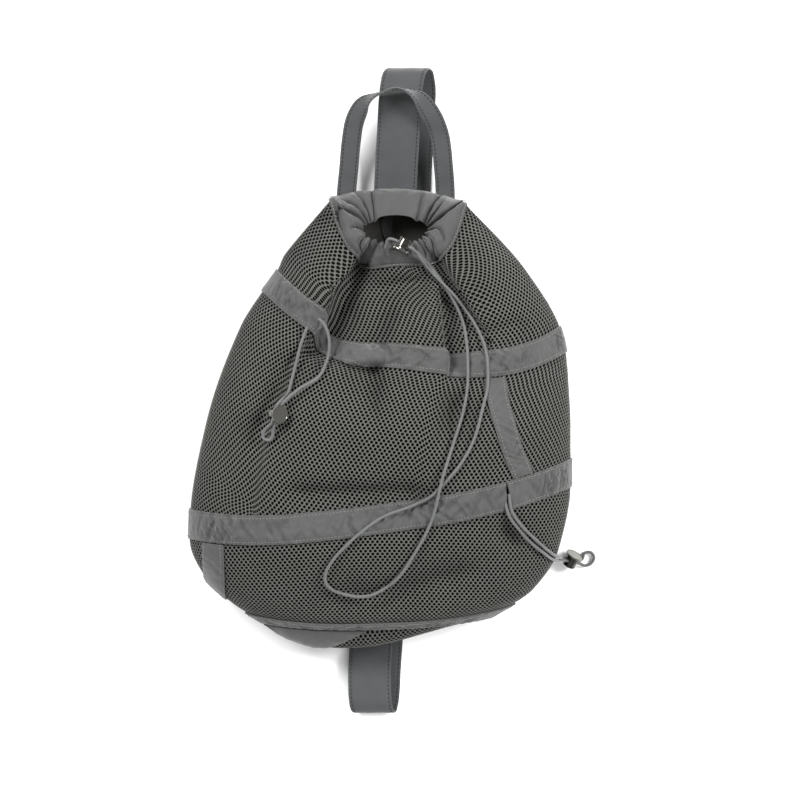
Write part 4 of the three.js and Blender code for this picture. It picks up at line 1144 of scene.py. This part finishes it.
def base_cells():
    """Points and six-sided cells of the knit of the base panel, on a flat lattice bulged out by the panel."""
    pitch = sizes().cell_pitch
    row = sizes().row_pitch
    rim = base_point(1.0, np.linspace(0, 2, RIM_MARKS))
    low, high = rim.min(axis=0), rim.max(axis=0)
    rows = int((high[2] - low[2]) / row) + BASE_MARGIN
    columns = 2 * int((high[0] - low[0]) / pitch) + 2 * BASE_MARGIN + 1
    marks = (np.arange(columns) - BASE_MARGIN) * pitch / 2 + low[0]
    x, z = np.meshgrid(marks, lattice_levels(rows, row) + low[2] - row)
    r, s = base_place(x, z)
    points = base_point(r, s).reshape(-1, 3)
    cells = hex_cells(rows, columns)[:, TURNED_OVER]
    return points, cells[real_cells(points, cells)]


def knit_net(name, points, cells, node_name):
    """The perforated face of one panel."""
    used, faces = np.unique(cells, return_inverse=True)
    net = new_object(name, points[used], faces.reshape(-1, 6), smooth=False)
    corner = points[cells]
    ways = unit(corner[:, 1] + corner[:, 2] - corner[:, 4] - corner[:, 5])
    attribute = net.data.attributes.new("row_way", "FLOAT_VECTOR", "FACE")
    attribute.data.foreach_set("vector", ways.astype(np.float32).ravel())
    through_tree(net, bpy.data.node_groups["knit_holes"], {
        "Hole Height": sizes().hole_height, "Hole Slimness": sizes().hole_slimness,
        "Strand Drop": sizes().strand_drop, "Hole Depth": sizes().hole_depth,
        "Painted Shade Bore Material": material("knit_bore_painted_shade"), "Material": material("knit_strand")})
    return finish_piece(net, "mesh", node_name)


def knit_back_painted_shade(name, outer, inner, node_name):
    """The back face of one panel, a thin wall under its holes: its outer face is painted near black as the
    shade in the holes, and its inner face has the knit's own dark colour.
    """
    wall = cloth_wall(name, outer, inner, material("knit_back_painted_shade"), closed=True)
    wall.data.materials.append(material("knit_inside"))
    rows, columns = outer.shape[:2]
    face_count = (rows - 1) * columns
    for face in wall.data.polygons[face_count:2 * face_count]:
        face.material_index = 1
    return finish_piece(wall, "mesh", node_name)


class MESHBAG_OT_net(bpy.types.Operator):
    """Knit panels of open air mesh: a perforated face over a back face painted near black as the shade in its
    holes
    """

    bl_idname = "mesh_bag.net"
    bl_label = "Mesh panels"

    def execute(self, context):
        net_tree()
        panels = [
            ("mesh_top", 0.0, UPPER_TAPE.top + PANEL_TUCK, True, LOBE_ZONES),
            ("mesh_middle", UPPER_TAPE.end - PANEL_TUCK, LOWER_TAPE.top + PANEL_TUCK, False, ROUND_ZONES),
            ("mesh_lower", LOWER_TAPE.end - PANEL_TUCK, BASE_DOWN - PANEL_BASE_GAP, True, ROUND_ZONES),
        ]
        around = np.arange(PANEL_COLUMNS) * 2 / PANEL_COLUMNS
        for name, head, tail, upwards, zones in panels:
            points, cells, places = net_cells(head, tail, upwards, zones)
            front = (places >= 0) & (places <= 1)
            nets = [
                knit_net(f"{name}_net_front", points, cells[front], name),
                knit_net(f"{name}_net_back", points, cells[~front], name),
            ]
            steps = math.ceil((tail - head) / PANEL_ROW_STEP)
            downs = np.linspace(head, tail, steps + 1)[:, None]
            outer = lifted(downs, around[None, :], -sizes().back_depth)
            inner = lifted(downs, around[None, :], -sizes().back_depth - KNIT_BACK_WALL)
            back = knit_back_painted_shade(f"{name}_back", outer, inner, name)
            ends = np.concatenate([outer, outer[:, :1]], axis=1)
            float(run_along(ends, 1)[:, -1].max())
            float(run_along(outer, 0)[-1].max())
        points, cells = base_cells()
        net = knit_net("mesh_base_net", points, cells, "mesh_base")
        rings = BASE_RINGS[:, None]
        out = outward(base_point, rings, around[None, :], -STEP_BASE)
        outer = base_point(rings, around[None, :]) - out * sizes().back_depth
        inner = base_point(rings, around[None, :]) - out * (sizes().back_depth + KNIT_BACK_WALL)
        back = knit_back_painted_shade("mesh_base_back", outer, inner, "mesh_base")
        across, along = np.ptp(outer[0, :, 0]), 2 * run_along(outer, 0)[-1].max()
        return {"FINISHED"}


# Casing, tapes and straps

def mouth_hem(s, along):
    """The casing's edge, lapped a little way over the mesh."""
    return lifted(np.full_like(s, along), s, np.full_like(s, LAYER_GAP))


class MESHBAG_OT_casing(bpy.types.Operator):
    """Woven casing gathered round the mouth"""

    bl_idname = "mesh_bag.casing"
    bl_label = "Gathered casing"

    def execute(self, context):
        s = np.arange(CASING_COLUMNS) * 2 / CASING_COLUMNS
        w = np.linspace(1, 0, CASING_ROWS)[:, None]
        top = casing_point(w, s[None, :])
        out = outward(casing_point, w, s[None, :], -STEP_CASING)
        round_it, deep = np.broadcast_arrays(s * CASING_CLOTH_WIDTH, w * CASING_CLOTH_DEPTH)
        creases = crumple(round_it, deep, CASING_CREASE_PITCH, CASING_CREASE_SEED)
        top = top + out * (CASING_CREASE * creases * smoothstep(1 - w, 0, CASING_CREASE_START))[..., None]
        under = top - out * CASING_WALL
        hem = mouth_hem(s, CASING_HEM)
        outer = np.concatenate([top, hem[None] + bag_out(np.full_like(s, CASING_HEM), s)[None] * TAPE_WALL])
        inner = np.concatenate([under, hem[None]])
        casing = cloth_wall("gathered_casing", outer, inner, material("woven_tape"), closed=True)
        finish_piece(casing, "tape", "mouth_casing")
        ways = run_along(outer, 1)[:, -1]
        width = float(run_along(outer, 0)[-1].mean())
        seam = np.concatenate([s, s[:1]])
        place = np.full_like(seam, CASING_HEM / 2)
        line = lifted(place, seam, np.full_like(seam, LAYER_GAP + TAPE_WALL + CASING_STITCH_LIFT))
        stitches = sewn("casing_stitches", [(line, bag_out(place, seam))], material("light_thread"),
                        sizes().stitch_pitch, sizes().stitch_length)
        finish_piece(stitches, "tape")
        return {"FINISHED"}


def tape_relief(u, across, seed, creased):
    """Height of a tape over its edges: a cord tunnel along its middle, puckers at its seams, and creases."""
    edge = np.abs(2 * across - 1)
    tunnel = TAPE_TUNNEL * (1 - edge ** 3)
    pucker = TAPE_PUCKER * np.sin(2 * np.pi * u / TAPE_PUCKER_PITCH) * edge ** 2
    patchy = TAPE_CREASE * (TAPE_PATCH_MEAN + crumple(u, across * 0, TAPE_PATCH, seed + TAPE_PATCH_SEED))
    creases = np.zeros_like(u)
    for slant, shift in ((TAPE_SLANT, 0.0), (-TAPE_SLANT, TAPE_CROSS_SEED)):
        along = u + slant * (across - 0.5)
        lines = crumple(along, across * TAPE_CREASE_RUN, TAPE_CREASE_PITCH, seed + shift)
        creases = creases + patchy * (TAPE_RIDGE - np.abs(lines))
    return tunnel + pucker + creased * creases * (1 - edge ** 4)


class TapeLay:
    """A tape on the bag. across is 0 at its upper edge and 1 at its lower one, along 0 at its start."""

    def __init__(self, name, downs, places, seed, lap=0.0, inside=False, closed=False, creased=1.0):
        self.name = name
        self.downs = downs
        self.places = places
        self.seed = seed
        self.lap = lap
        self.inside = inside
        self.closed = closed
        self.creased = creased
        marks = np.linspace(0, 1, TAPE_LENGTH_MARKS)
        middle = np.full_like(marks, 0.5)
        self.length = float(run_along(bag_point(downs(middle, marks), places(middle, marks)), 0)[-1])

    def bottom(self, along):
        """Height of the tape's under face: on the mesh, inside it, or over the tape's own start."""
        if self.inside:
            return np.full_like(along, -MESH_WALL - STRIP_GAP - TAPE_WALL)
        lift = LAP_LIFT if self.lap > 0 else 0
        return LAYER_GAP + lift * (1 - smoothstep((1 - along) * self.length, LAP_NEAR, LAP_FAR))

    def top(self, across, along):
        u = along * self.length
        facing_up = smoothstep(np.sin(np.pi * self.places(across, along)), 0, TAPE_FLAT_SIDE)
        relief = tape_relief(u, across, self.seed, self.creased) * facing_up
        if self.lap > 0:
            relief = relief * smoothstep(u, LAP_NEAR, LAP_FAR)
        return self.bottom(along) + TAPE_WALL + relief

    def build(self):
        columns = int(self.length / TAPE_COLUMN_STEP)
        marks = np.linspace(0, 1, columns + 1)[:columns + (not self.closed)]
        along, across = np.meshgrid(marks, np.linspace(0, 1, TAPE_ROWS))
        downs = self.downs(across, along)
        places = self.places(across, along)
        top = lifted(downs, places, self.top(across, along))
        bottom = lifted(downs, places, self.bottom(along))
        top[..., 2] = np.maximum(top[..., 2], 0)
        if self.inside:
            top, bottom = bottom, top
        return cloth_wall(f"{self.name}_cloth", top, bottom, material("woven_tape"), closed=self.closed)

    def seam(self, across):
        """A line of stitches at a share across the tape, and the outward way along it."""
        along = np.linspace(SEAM_END, 1 - SEAM_END, int(self.length / SEAM_STEP))
        across = np.full_like(along, across)
        downs = self.downs(across, along)
        places = self.places(across, along)
        return lifted(downs, places, self.top(across, along) + STITCH_LIFT), bag_out(downs, places)


def round_tape(tape):
    """A tape round the bag, from one side of its cord exit to the other."""
    def downs(across, along):
        return lerp(tape.top, tape.end, across)

    def places(across, along):
        return tape.exit + lerp(lerp(tape.slit_top, tape.slit_foot, across), 2 + tape.lap, along)

    return TapeLay(tape.name, downs, places, tape.seed, lap=tape.lap)


def base_binding():
    """The binding of the base seam."""
    def downs(across, along):
        return lerp(BASE_DOWN - BINDING_WIDTH, BASE_DOWN - BINDING_INSET, across)

    def places(across, along):
        return 2 * along

    return TapeLay("base_binding", downs, places, BINDING_SEED, closed=True, creased=BINDING_CREASED)


def seam_strip(strip):
    """A strip of tape over an upright seam, on the outer face of the bag or inside it."""
    sway = INNER_STRIP_SWAY if strip.inside else 0.0

    def downs(across, along):
        return lerp(strip.head_down, strip.tail_down, along)

    def places(across, along):
        at = downs(across, along)
        wave = sway * np.sin(2 * np.pi * INNER_STRIP_WAVES * along)
        middle = lerp(strip.head_s, strip.tail_s, along) + wave
        beside = bag_point(at, middle + STEP_ROUND) - bag_point(at, middle - STEP_ROUND)
        reach = np.linalg.norm(beside, axis=-1)
        return middle + (0.5 - across) * 2 * STEP_ROUND * strip.width / reach

    return TapeLay(strip.name, downs, places, strip.seed, inside=strip.inside, creased=STRIP_CREASED)


def side_strip():
    """The strip that hangs straight down from the lower tape and over the left side of the bag."""
    def edge_and_x(across):
        x = SIDE_STRIP_X + (0.5 - across) * SIDE_STRIP_WIDTH
        return down_where(np.full_like(x, SIDE_STRIP_HEAD), lambda row: row.left_x >= x), x

    def downs(across, along):
        edge, _ = edge_and_x(across)
        share = np.minimum(1, along / SIDE_STRIP_OVER_SIDE)
        return lerp(SIDE_STRIP_HEAD, edge, np.sin(np.pi / 2 * share))

    def places(across, along):
        _, x = edge_and_x(across)
        row = row_at(downs(across, along))
        in_from_left = np.clip((x - row.left_x) / (row.right_x - row.left_x), 0, 1)
        past = np.clip((along - SIDE_STRIP_OVER_SIDE) / (1 - SIDE_STRIP_OVER_SIDE), 0, 1)
        front = np.arccos(1 - 2 * in_from_left) / np.pi
        return np.where(along > SIDE_STRIP_OVER_SIDE, SIDE_STRIP_TAIL_S * past, front)

    return TapeLay("seam_tape_lower", downs, places, SIDE_STRIP_SEED, creased=SIDE_STRIP_CREASED)


def binding_fold():
    """The part of the base binding that hangs over the base panel, and its mean width and length."""
    share, deep = np.meshgrid(np.linspace(0, 1, BINDING_FOLD_COLUMNS), np.linspace(0, 1, BINDING_FOLD_ROWS))
    x = lerp(*BINDING_FOLD_X, share)
    row = row_at(BASE_DOWN)
    rim_z = front_point(row, x)[..., 2] - BINDING_FOLD_IN
    drop = 1 - np.sqrt(1 - np.clip((1 - share) / BINDING_FOLD_TAPER, 0, 1))
    drop = drop * smoothstep(share, 0, BINDING_FOLD_START)
    r, s = base_place(x, lerp(rim_z, BINDING_FOLD_LOW_Z, drop * deep))
    out = outward(base_point, r, s, -STEP_BASE)
    face = base_point(r, s)
    creases = crumple(x, deep * BINDING_FOLD_DEEP, BINDING_FOLD_PITCH, BINDING_FOLD_SEED)
    swell = BINDING_FOLD_SWELL * np.sin(np.pi * deep) * (1 + creases)
    top = face + out * (LAYER_GAP + TAPE_WALL + swell)[..., None]
    piece = cloth_wall("base_binding_fold", top, face + out * LAYER_GAP, material("woven_tape"))
    return piece, float(run_along(face, 0)[-1].mean()), float(run_along(face, 1)[:, -1].mean())


class MESHBAG_OT_tapes(bpy.types.Operator):
    """Woven tapes over the seams of the mesh, with their stitches"""

    bl_idname = "mesh_bag.tapes"
    bl_label = "Seam tapes"

    def execute(self, context):
        lays = [(round_tape(tape), tape.end - tape.top, 2) for tape in (UPPER_TAPE, LOWER_TAPE)]
        lays.append((base_binding(), BINDING_WIDTH, 1))
        lays += [(seam_strip(strip), strip.width, 0 if strip.inside else 2) for strip in STRIPS]
        lays.append((side_strip(), SIDE_STRIP_WIDTH, 2))
        lines = []
        for lay, width, seams in lays:
            piece = lay.build()
            finish_piece(piece, "tape", lay.name)
            inset = sizes().stitch_inset / width
            lines += [lay.seam(across) for across in (inset, 1 - inset)[:seams]]
        fold, width, length = binding_fold()
        finish_piece(fold, "tape", "base_binding")
        stitches = sewn("tape_stitches", lines, material("light_thread"), sizes().stitch_pitch,
                        sizes().stitch_length)
        finish_piece(stitches, "tape")
        return {"FINISHED"}


def webbing(node_name, line, width, width_way, seed):
    """A strap along a line, with a sewn channel near each soft edge. Gives the lines of its stitches."""
    smooth = catmull_rom(line, STRAP_SPAN_STEPS)
    along = unit(np.gradient(smooth, axis=0))
    share = np.linspace(0, 1, len(smooth))
    across = unit(width_way(share, along)) * width / 2
    face = unit(np.cross(across, along))
    side = np.sin(np.linspace(-np.pi / 2, np.pi / 2, STRAP_ACROSS))
    edge = (1 - np.abs(side)) * width / 2
    channel = np.exp(-(((edge - sizes().stitch_inset) / STRAP_CHANNEL) ** 2))
    soft = np.sqrt(np.clip(edge / STRAP_EDGE, STRAP_EDGE_LEAST, 1))
    half = STRAP_WALL / 2 * soft - STRAP_CHANNEL_DEPTH * channel
    way = run_along(smooth, 0)
    grid_u, grid_v = np.broadcast_arrays(way[:, None], side[None, :] * width / 2)
    creases = STRAP_CREASE * crumple(grid_u, grid_v, STRAP_CREASE_PITCH, seed) * (1 - channel) * soft
    middle = smooth[:, None, :] + across[:, None, :] * -side[None, :, None]
    outer = middle + face[:, None, :] * (half[None, :] + creases)[..., None]
    inner = middle - face[:, None, :] * (half[None, :] - creases)[..., None]
    outer[..., 2] = np.maximum(outer[..., 2], 0)
    inner[..., 2] = np.maximum(inner[..., 2], 0)
    piece = cloth_wall(f"{node_name}_webbing", outer, inner, material("woven_strap"))
    finish_piece(piece, "strap", node_name)
    lines = []
    inset = 1 - sizes().stitch_inset / (width / 2)
    for edge_side in (-inset, inset):
        seam = smooth + across * edge_side
        for lift in (1, -1):
            lines.append((seam + face * lift * (STRAP_WALL / 2 - STRAP_STITCH_SINK), face * lift))
    return lines


class MESHBAG_OT_straps(bpy.types.Operator):
    """Shoulder strap and grab handle, with their stitches"""

    bl_idname = "mesh_bag.straps"
    bl_label = "Strap and handle"

    def execute(self, context):
        def level(share, along):
            return np.tile([1.0, 0.0, 0.0], (len(share), 1))

        def turning(share, along):
            turn = np.pi * smoothstep(share, *HANDLE_TURN)
            across = np.stack([np.cos(turn), np.zeros_like(turn), np.sin(turn)], axis=-1)
            return across - along * (across * along).sum(axis=1, keepdims=True)

        lines = webbing("shoulder_strap", STRAP_LINE, sizes().strap_width, level, STRAP_SEED)
        lines += webbing("grab_handle", HANDLE_LINE, sizes().handle_width, turning, HANDLE_SEED)
        # The strap stitches are painted near black as the shade of their sunken seams.
        stitches = sewn("strap_stitches", lines, material("dark_thread_painted_shade"),
                        sizes().stitch_pitch * STRAP_STITCH_SPREAD, sizes().stitch_length)
        finish_piece(stitches, "strap")
        return {"FINISHED"}


# Cords and locks

def lock_frame(lock):
    """The middle of a lock's cord slot, and its ways along the cord, across it and along its own axis."""
    axis = unit(np.array(lock.axis))
    cord = np.array(lock.cord)
    cord = unit(cord - axis * (cord @ axis))
    return np.array([lock.x, lock.y, lock.z]), np.stack([cord, np.cross(axis, cord), axis])


def through_lock(name, side):
    """The points of a strand that runs through a lock, on one side of its slot."""
    place, ways = lock_frame(next(lock for lock in LOCKS if lock.name == name))
    return [place + ways[0] * along + ways[1] * side * STRAND_SPACING / 2 for along in LOCK_PASS]


def bridged(heights):
    """Heights along a cord that spans the hollows too short for it to sink into."""
    spanned = np.pad(heights, 2 * CORD_SPAN_STEPS, mode="reflect", reflect_type="odd")
    for pick in (np.max, np.min):
        spanned = pick(np.lib.stride_tricks.sliding_window_view(spanned, 2 * CORD_SPAN_STEPS + 1), axis=1)
    return spanned


def on_bag(rows):
    """A stretch of cord that lies on the bag, carried by the cloth beside it."""
    points = respaced(catmull_rom(rows, CORD_LAID_STEPS), CORD_STEP)
    heights = []
    for dx, dy in ((0, 0), (CORD_REACH, 0), (-CORD_REACH, 0), (0, CORD_REACH), (0, -CORD_REACH)):
        heights.append(height_at(points[:, 0] + dx, points[:, 1] + dy))
    points[:, 2] += bridged(np.max(heights, axis=0)) + CORD_LIFT
    return list(points)


def cord_routes():
    """The points of each cord, from the end that comes out of the bag to the one that goes back in."""
    mouth = [*MOUTH_CORD_HEAD, *through_lock("mouth", 1), *on_bag(MOUTH_CORD_LOOP),
             *reversed(through_lock("mouth", -1)), *MOUTH_CORD_TAIL]
    left = [*on_bag(LEFT_CORD_OUT), *through_lock("left", 1), *LEFT_CORD_TIP,
            *reversed(through_lock("left", -1)), *on_bag(LEFT_CORD_BACK)]
    right = [*on_bag(RIGHT_CORD_OUT), *RIGHT_CORD_HANG, *through_lock("right", 1), *RIGHT_CORD_TIP,
             *reversed(through_lock("right", -1)), *RIGHT_CORD_RISE, *on_bag(RIGHT_CORD_BACK)]
    return {"mouth": mouth, "left": left, "right": right}


def cord_tube(name, line, radius):
    """A round tube along a line, its rings carried along without twist."""
    along = unit(np.gradient(line, axis=0))
    way = run_along(line, 0)
    side = unit(np.cross(along[0], np.array([0.0, 0.0, 1.0])))
    sides = []
    for direction in along:
        side = unit(side - direction * (side @ direction))
        sides.append(side)
    sides = np.array(sides)
    ups = np.cross(along, sides)
    turn = np.arange(CORD_SIDES) * 2 * np.pi / CORD_SIDES
    ring = np.cos(turn)[None, :, None] * sides[:, None, :] + np.sin(turn)[None, :, None] * ups[:, None, :]
    points = (line[:, None, :] + ring * radius).reshape(-1, 3)
    count = len(line)
    i, j = np.meshgrid(np.arange(count - 1), np.arange(CORD_SIDES), indexing="ij")
    following = (j + 1) % CORD_SIDES
    faces = np.stack([i * CORD_SIDES + j, i * CORD_SIDES + following, (i + 1) * CORD_SIDES + following,
                      (i + 1) * CORD_SIDES + j], axis=-1).reshape(-1, 4)
    u = np.stack([j, j + 1, j + 1, j], axis=-1).reshape(-1, 4) / CORD_SIDES
    v = np.stack([way[i], way[i], way[i + 1], way[i + 1]], axis=-1).reshape(-1, 4)
    uvs = np.stack([u, v], axis=-1).reshape(-1, 2)
    first = list(range(CORD_SIDES))[::-1]
    last = [(count - 1) * CORD_SIDES + k for k in range(CORD_SIDES)]
    uvs = np.concatenate([uvs, np.zeros((2 * CORD_SIDES, 2))])
    return new_object(name, points, [*faces.tolist(), first, last], material("elastic_braid"), uvs)


class MESHBAG_OT_cords(bpy.types.Operator):
    """Round elastic cords on their routes"""

    bl_idname = "mesh_bag.cords"
    bl_label = "Elastic cords"

    def execute(self, context):
        radius = sizes().cord_diameter / 2
        for name, route in cord_routes().items():
            line = respaced(catmull_rom(np.array(route), CORD_SPAN_RINGS), CORD_RING_STEP)
            piece = cord_tube(f"{name}_cord_braid", line, radius)
            finish_piece(piece, "cord", f"{name}_cord")
            float(run_along(line, 0)[-1])
        return {"FINISHED"}


def turned_solid(profile):
    """Points and faces of a profile of radius and height turned about Z."""
    turn = np.arange(LOCK_SIDES) * 2 * np.pi / LOCK_SIDES
    points = []
    rings = []
    for radius, height in profile:
        start = len(points)
        if radius == 0:
            points.append((0.0, 0.0, height))
            rings.append([start] * LOCK_SIDES)
        else:
            points += [(radius * math.cos(a), radius * math.sin(a), height) for a in turn]
            rings.append(list(range(start, start + LOCK_SIDES)))
    faces = []
    for low, high in zip(rings, rings[1:]):
        for k in range(LOCK_SIDES):
            after = (k + 1) % LOCK_SIDES
            corners = [low[k], low[after], high[after], high[k]]
            faces.append(list(dict.fromkeys(corners)))
    return points, faces


def bevel(radius, height, way):
    """A rounded edge of a profile, from an end face out to the side. way is 1 where the side runs up."""
    near = LOCK_BEVEL * LOCK_BEVEL_ROUND
    return [(radius - LOCK_BEVEL, height), (radius - near, height + way * near),
            (radius, height + way * LOCK_BEVEL)]


def slotted(name, profile, slot_low, slot_high, finish):
    """A turned solid with a slot through it along X for the cord."""
    points, faces = turned_solid(profile)
    solid = new_object(name, points, faces, finish, smooth=False)
    half_width = (STRAND_SPACING + sizes().cord_diameter) / 2 + LOCK_SLOT_CLEARANCE
    half_length = 2 * LOCK_BARREL_RADIUS
    ground = [(-half_length, -half_width), (half_length, -half_width),
              (half_length, half_width), (-half_length, half_width)]
    corners = [(x, y, z) for z in (slot_low, slot_high) for x, y in ground]
    sides = [(0, 3, 2, 1), (4, 5, 6, 7), (0, 1, 5, 4), (1, 2, 6, 5), (2, 3, 7, 6), (3, 0, 4, 7)]
    cutter = new_object(f"{name}_slot", corners, sides, smooth=False)
    modifier = solid.modifiers.new("slot", "BOOLEAN")
    modifier.object = cutter
    modifier.operation = "DIFFERENCE"
    modifier.solver = "EXACT"
    made = baked(solid)
    bpy.data.objects.remove(cutter)
    made.polygons.foreach_set("use_smooth", [True] * len(made.polygons))
    made.set_sharp_from_angle(angle=LOCK_SHARP)
    return solid


class MESHBAG_OT_locks(bpy.types.Operator):
    """Spring locks on the cords, each a barrel and a push button"""

    bl_idname = "mesh_bag.locks"
    bl_label = "Cord locks"

    def execute(self, context):
        reach = sizes().cord_diameter / 2 + LOCK_SLOT_CLEARANCE
        slot_low = LOCK_CORD_Z - reach
        slot_high = LOCK_CORD_Z + reach
        for lock in LOCKS:
            place, ways = lock_frame(lock)
            barrel = slotted(f"{lock.name}_lock_barrel_metal", self.barrel_profile(), slot_low, slot_high,
                             material("lock_barrel_metal"))
            button = slotted(f"{lock.name}_lock_button_metal", self.button_profile(slot_low), slot_low,
                             slot_high + LOCK_TRAVEL, material("lock_button_metal"))
            for piece, node_name, body in ((barrel, f"{lock.name}_lock_barrel", "bag"),
                                           (button, f"{lock.name}_lock_button", f"{lock.name}_button")):
                for vertex in piece.data.vertices:
                    local = np.array(vertex.co) - (0, 0, LOCK_CORD_Z)
                    vertex.co = place + local @ ways
                finish_piece(piece, "lock_metal", node_name, body=body)
        return {"FINISHED"}

    def barrel_profile(self):
        """A bored barrel with rounded rims and two turned grooves."""
        rim = LOCK_BARREL_RADIUS
        top = LOCK_BARREL_HEIGHT
        profile = [(0, 0), *bevel(rim, 0, 1)]
        for height in (LOCK_GROOVE_IN, top - LOCK_GROOVE_IN):
            profile += [(rim, height - LOCK_GROOVE), (rim - LOCK_GROOVE, height - LOCK_GROOVE / 2),
                        (rim - LOCK_GROOVE, height + LOCK_GROOVE / 2), (rim, height + LOCK_GROOVE)]
        profile += reversed(bevel(rim, top, -1))
        return [*profile, (LOCK_BORE_RADIUS, top), (LOCK_BORE_RADIUS, LOCK_FLOOR), (0, LOCK_FLOOR)]

    def button_profile(self, slot_low):
        """A stem and a flat disc whose face is a little dished inside a bright rim."""
        stem = LOCK_STEM_RADIUS
        end = slot_low - LOCK_BAR_UNDER_CORD
        disc = LOCK_BARREL_HEIGHT + LOCK_DISC_RISE
        face = disc + LOCK_DISC_WALL
        edge = LOCK_DISC_RADIUS
        dish = face - LOCK_DISH
        return [(0, end), (stem, end), (stem, disc), *bevel(edge, disc, 1), *reversed(bevel(edge, face, -1)),
                (edge - LOCK_RIM, face), (edge - LOCK_RIM - LOCK_RIM_SLOPE, dish), (0, dish)]


# Stage

class MESHBAG_OT_stage(bpy.types.Operator):
    """Materials, camera straight above the bag, pale floor and soft studio light"""

    bl_idname = "mesh_bag.stage"
    bl_label = "Stage"

    def execute(self, context):
        make_materials()
        stitch_tree()
        scene = context.scene
        data = bpy.data.cameras.new("camera")
        data.lens = CAMERA_LENS
        data.sensor_width = CAMERA_SENSOR
        scene.camera = placed("camera", data)
        scene.camera.location = CAMERA_PLACE
        half = FLOOR_HALF
        corners = [(-half, -half, -FLOOR_DROP), (half, -half, -FLOOR_DROP), (half, half, -FLOOR_DROP),
                   (-half, half, -FLOOR_DROP)]
        floor = new_object("floor", corners, [(0, 1, 2, 3)], material("pale_floor"))
        for lamp in LAMPS:
            self.light(lamp)
        world = bpy.data.worlds.new("studio")
        world.use_nodes = True
        background = world.node_tree.nodes["Background"]
        background.inputs["Color"].default_value = (1.0, 1.0, 1.0, 1.0)
        background.inputs["Strength"].default_value = WORLD_STRENGTH
        scene.world = world
        scene.view_settings.view_transform = "Standard"
        return {"FINISHED"}

    def light(self, lamp):
        data = bpy.data.lights.new(lamp.name, "AREA")
        data.size = LAMP_SIZE
        data.energy = lamp.power
        made = placed(lamp.name, data)
        made.location = lamp.place
        made.rotation_mode = "QUATERNION"
        made.rotation_quaternion = (-Vector(lamp.place)).to_track_quat("-Z", "Y")
        made.visible_glossy = lamp.mirrored


class MESHBAG_PT_build(bpy.types.Panel):
    """Lists the steps that build the bag"""

    bl_idname = "MESHBAG_PT_build"
    bl_label = "Mesh bag"
    bl_space_type = "VIEW_3D"
    bl_region_type = "UI"
    bl_category = "Mesh bag"

    def draw(self, context):
        for step in STEPS:
            self.layout.operator(step.bl_idname)
        for group in (context.scene.mesh_bag_sizes, context.scene.mesh_bag_colours):
            box = self.layout.box()
            for name in group.bl_rna.properties.keys():
                if name not in ("rna_type", "name"):
                    box.prop(group, name)


# The camera and the cords come first; the locks stand before the cords that name them
STEPS = (MESHBAG_OT_stage, MESHBAG_OT_locks, MESHBAG_OT_cords, MESHBAG_OT_net, MESHBAG_OT_casing,
         MESHBAG_OT_tapes, MESHBAG_OT_straps)
CLASSES = (BagSizes, BagColours, *STEPS, MESHBAG_PT_build)


def register():
    for made in CLASSES:
        bpy.utils.register_class(made)
    bpy.types.Scene.mesh_bag_sizes = PointerProperty(type=BagSizes)
    bpy.types.Scene.mesh_bag_colours = PointerProperty(type=BagColours)


def unregister():
    del bpy.types.Scene.mesh_bag_colours
    del bpy.types.Scene.mesh_bag_sizes
    for made in reversed(CLASSES):
        bpy.utils.unregister_class(made)


def main():
    register()
    bpy.ops.mesh_bag.stage()
    bpy.ops.mesh_bag.locks()
    bpy.ops.mesh_bag.cords()
    bpy.ops.mesh_bag.net()
    bpy.ops.mesh_bag.casing()
    bpy.ops.mesh_bag.tapes()
    bpy.ops.mesh_bag.straps()


if __name__ == "__main__":
    main()
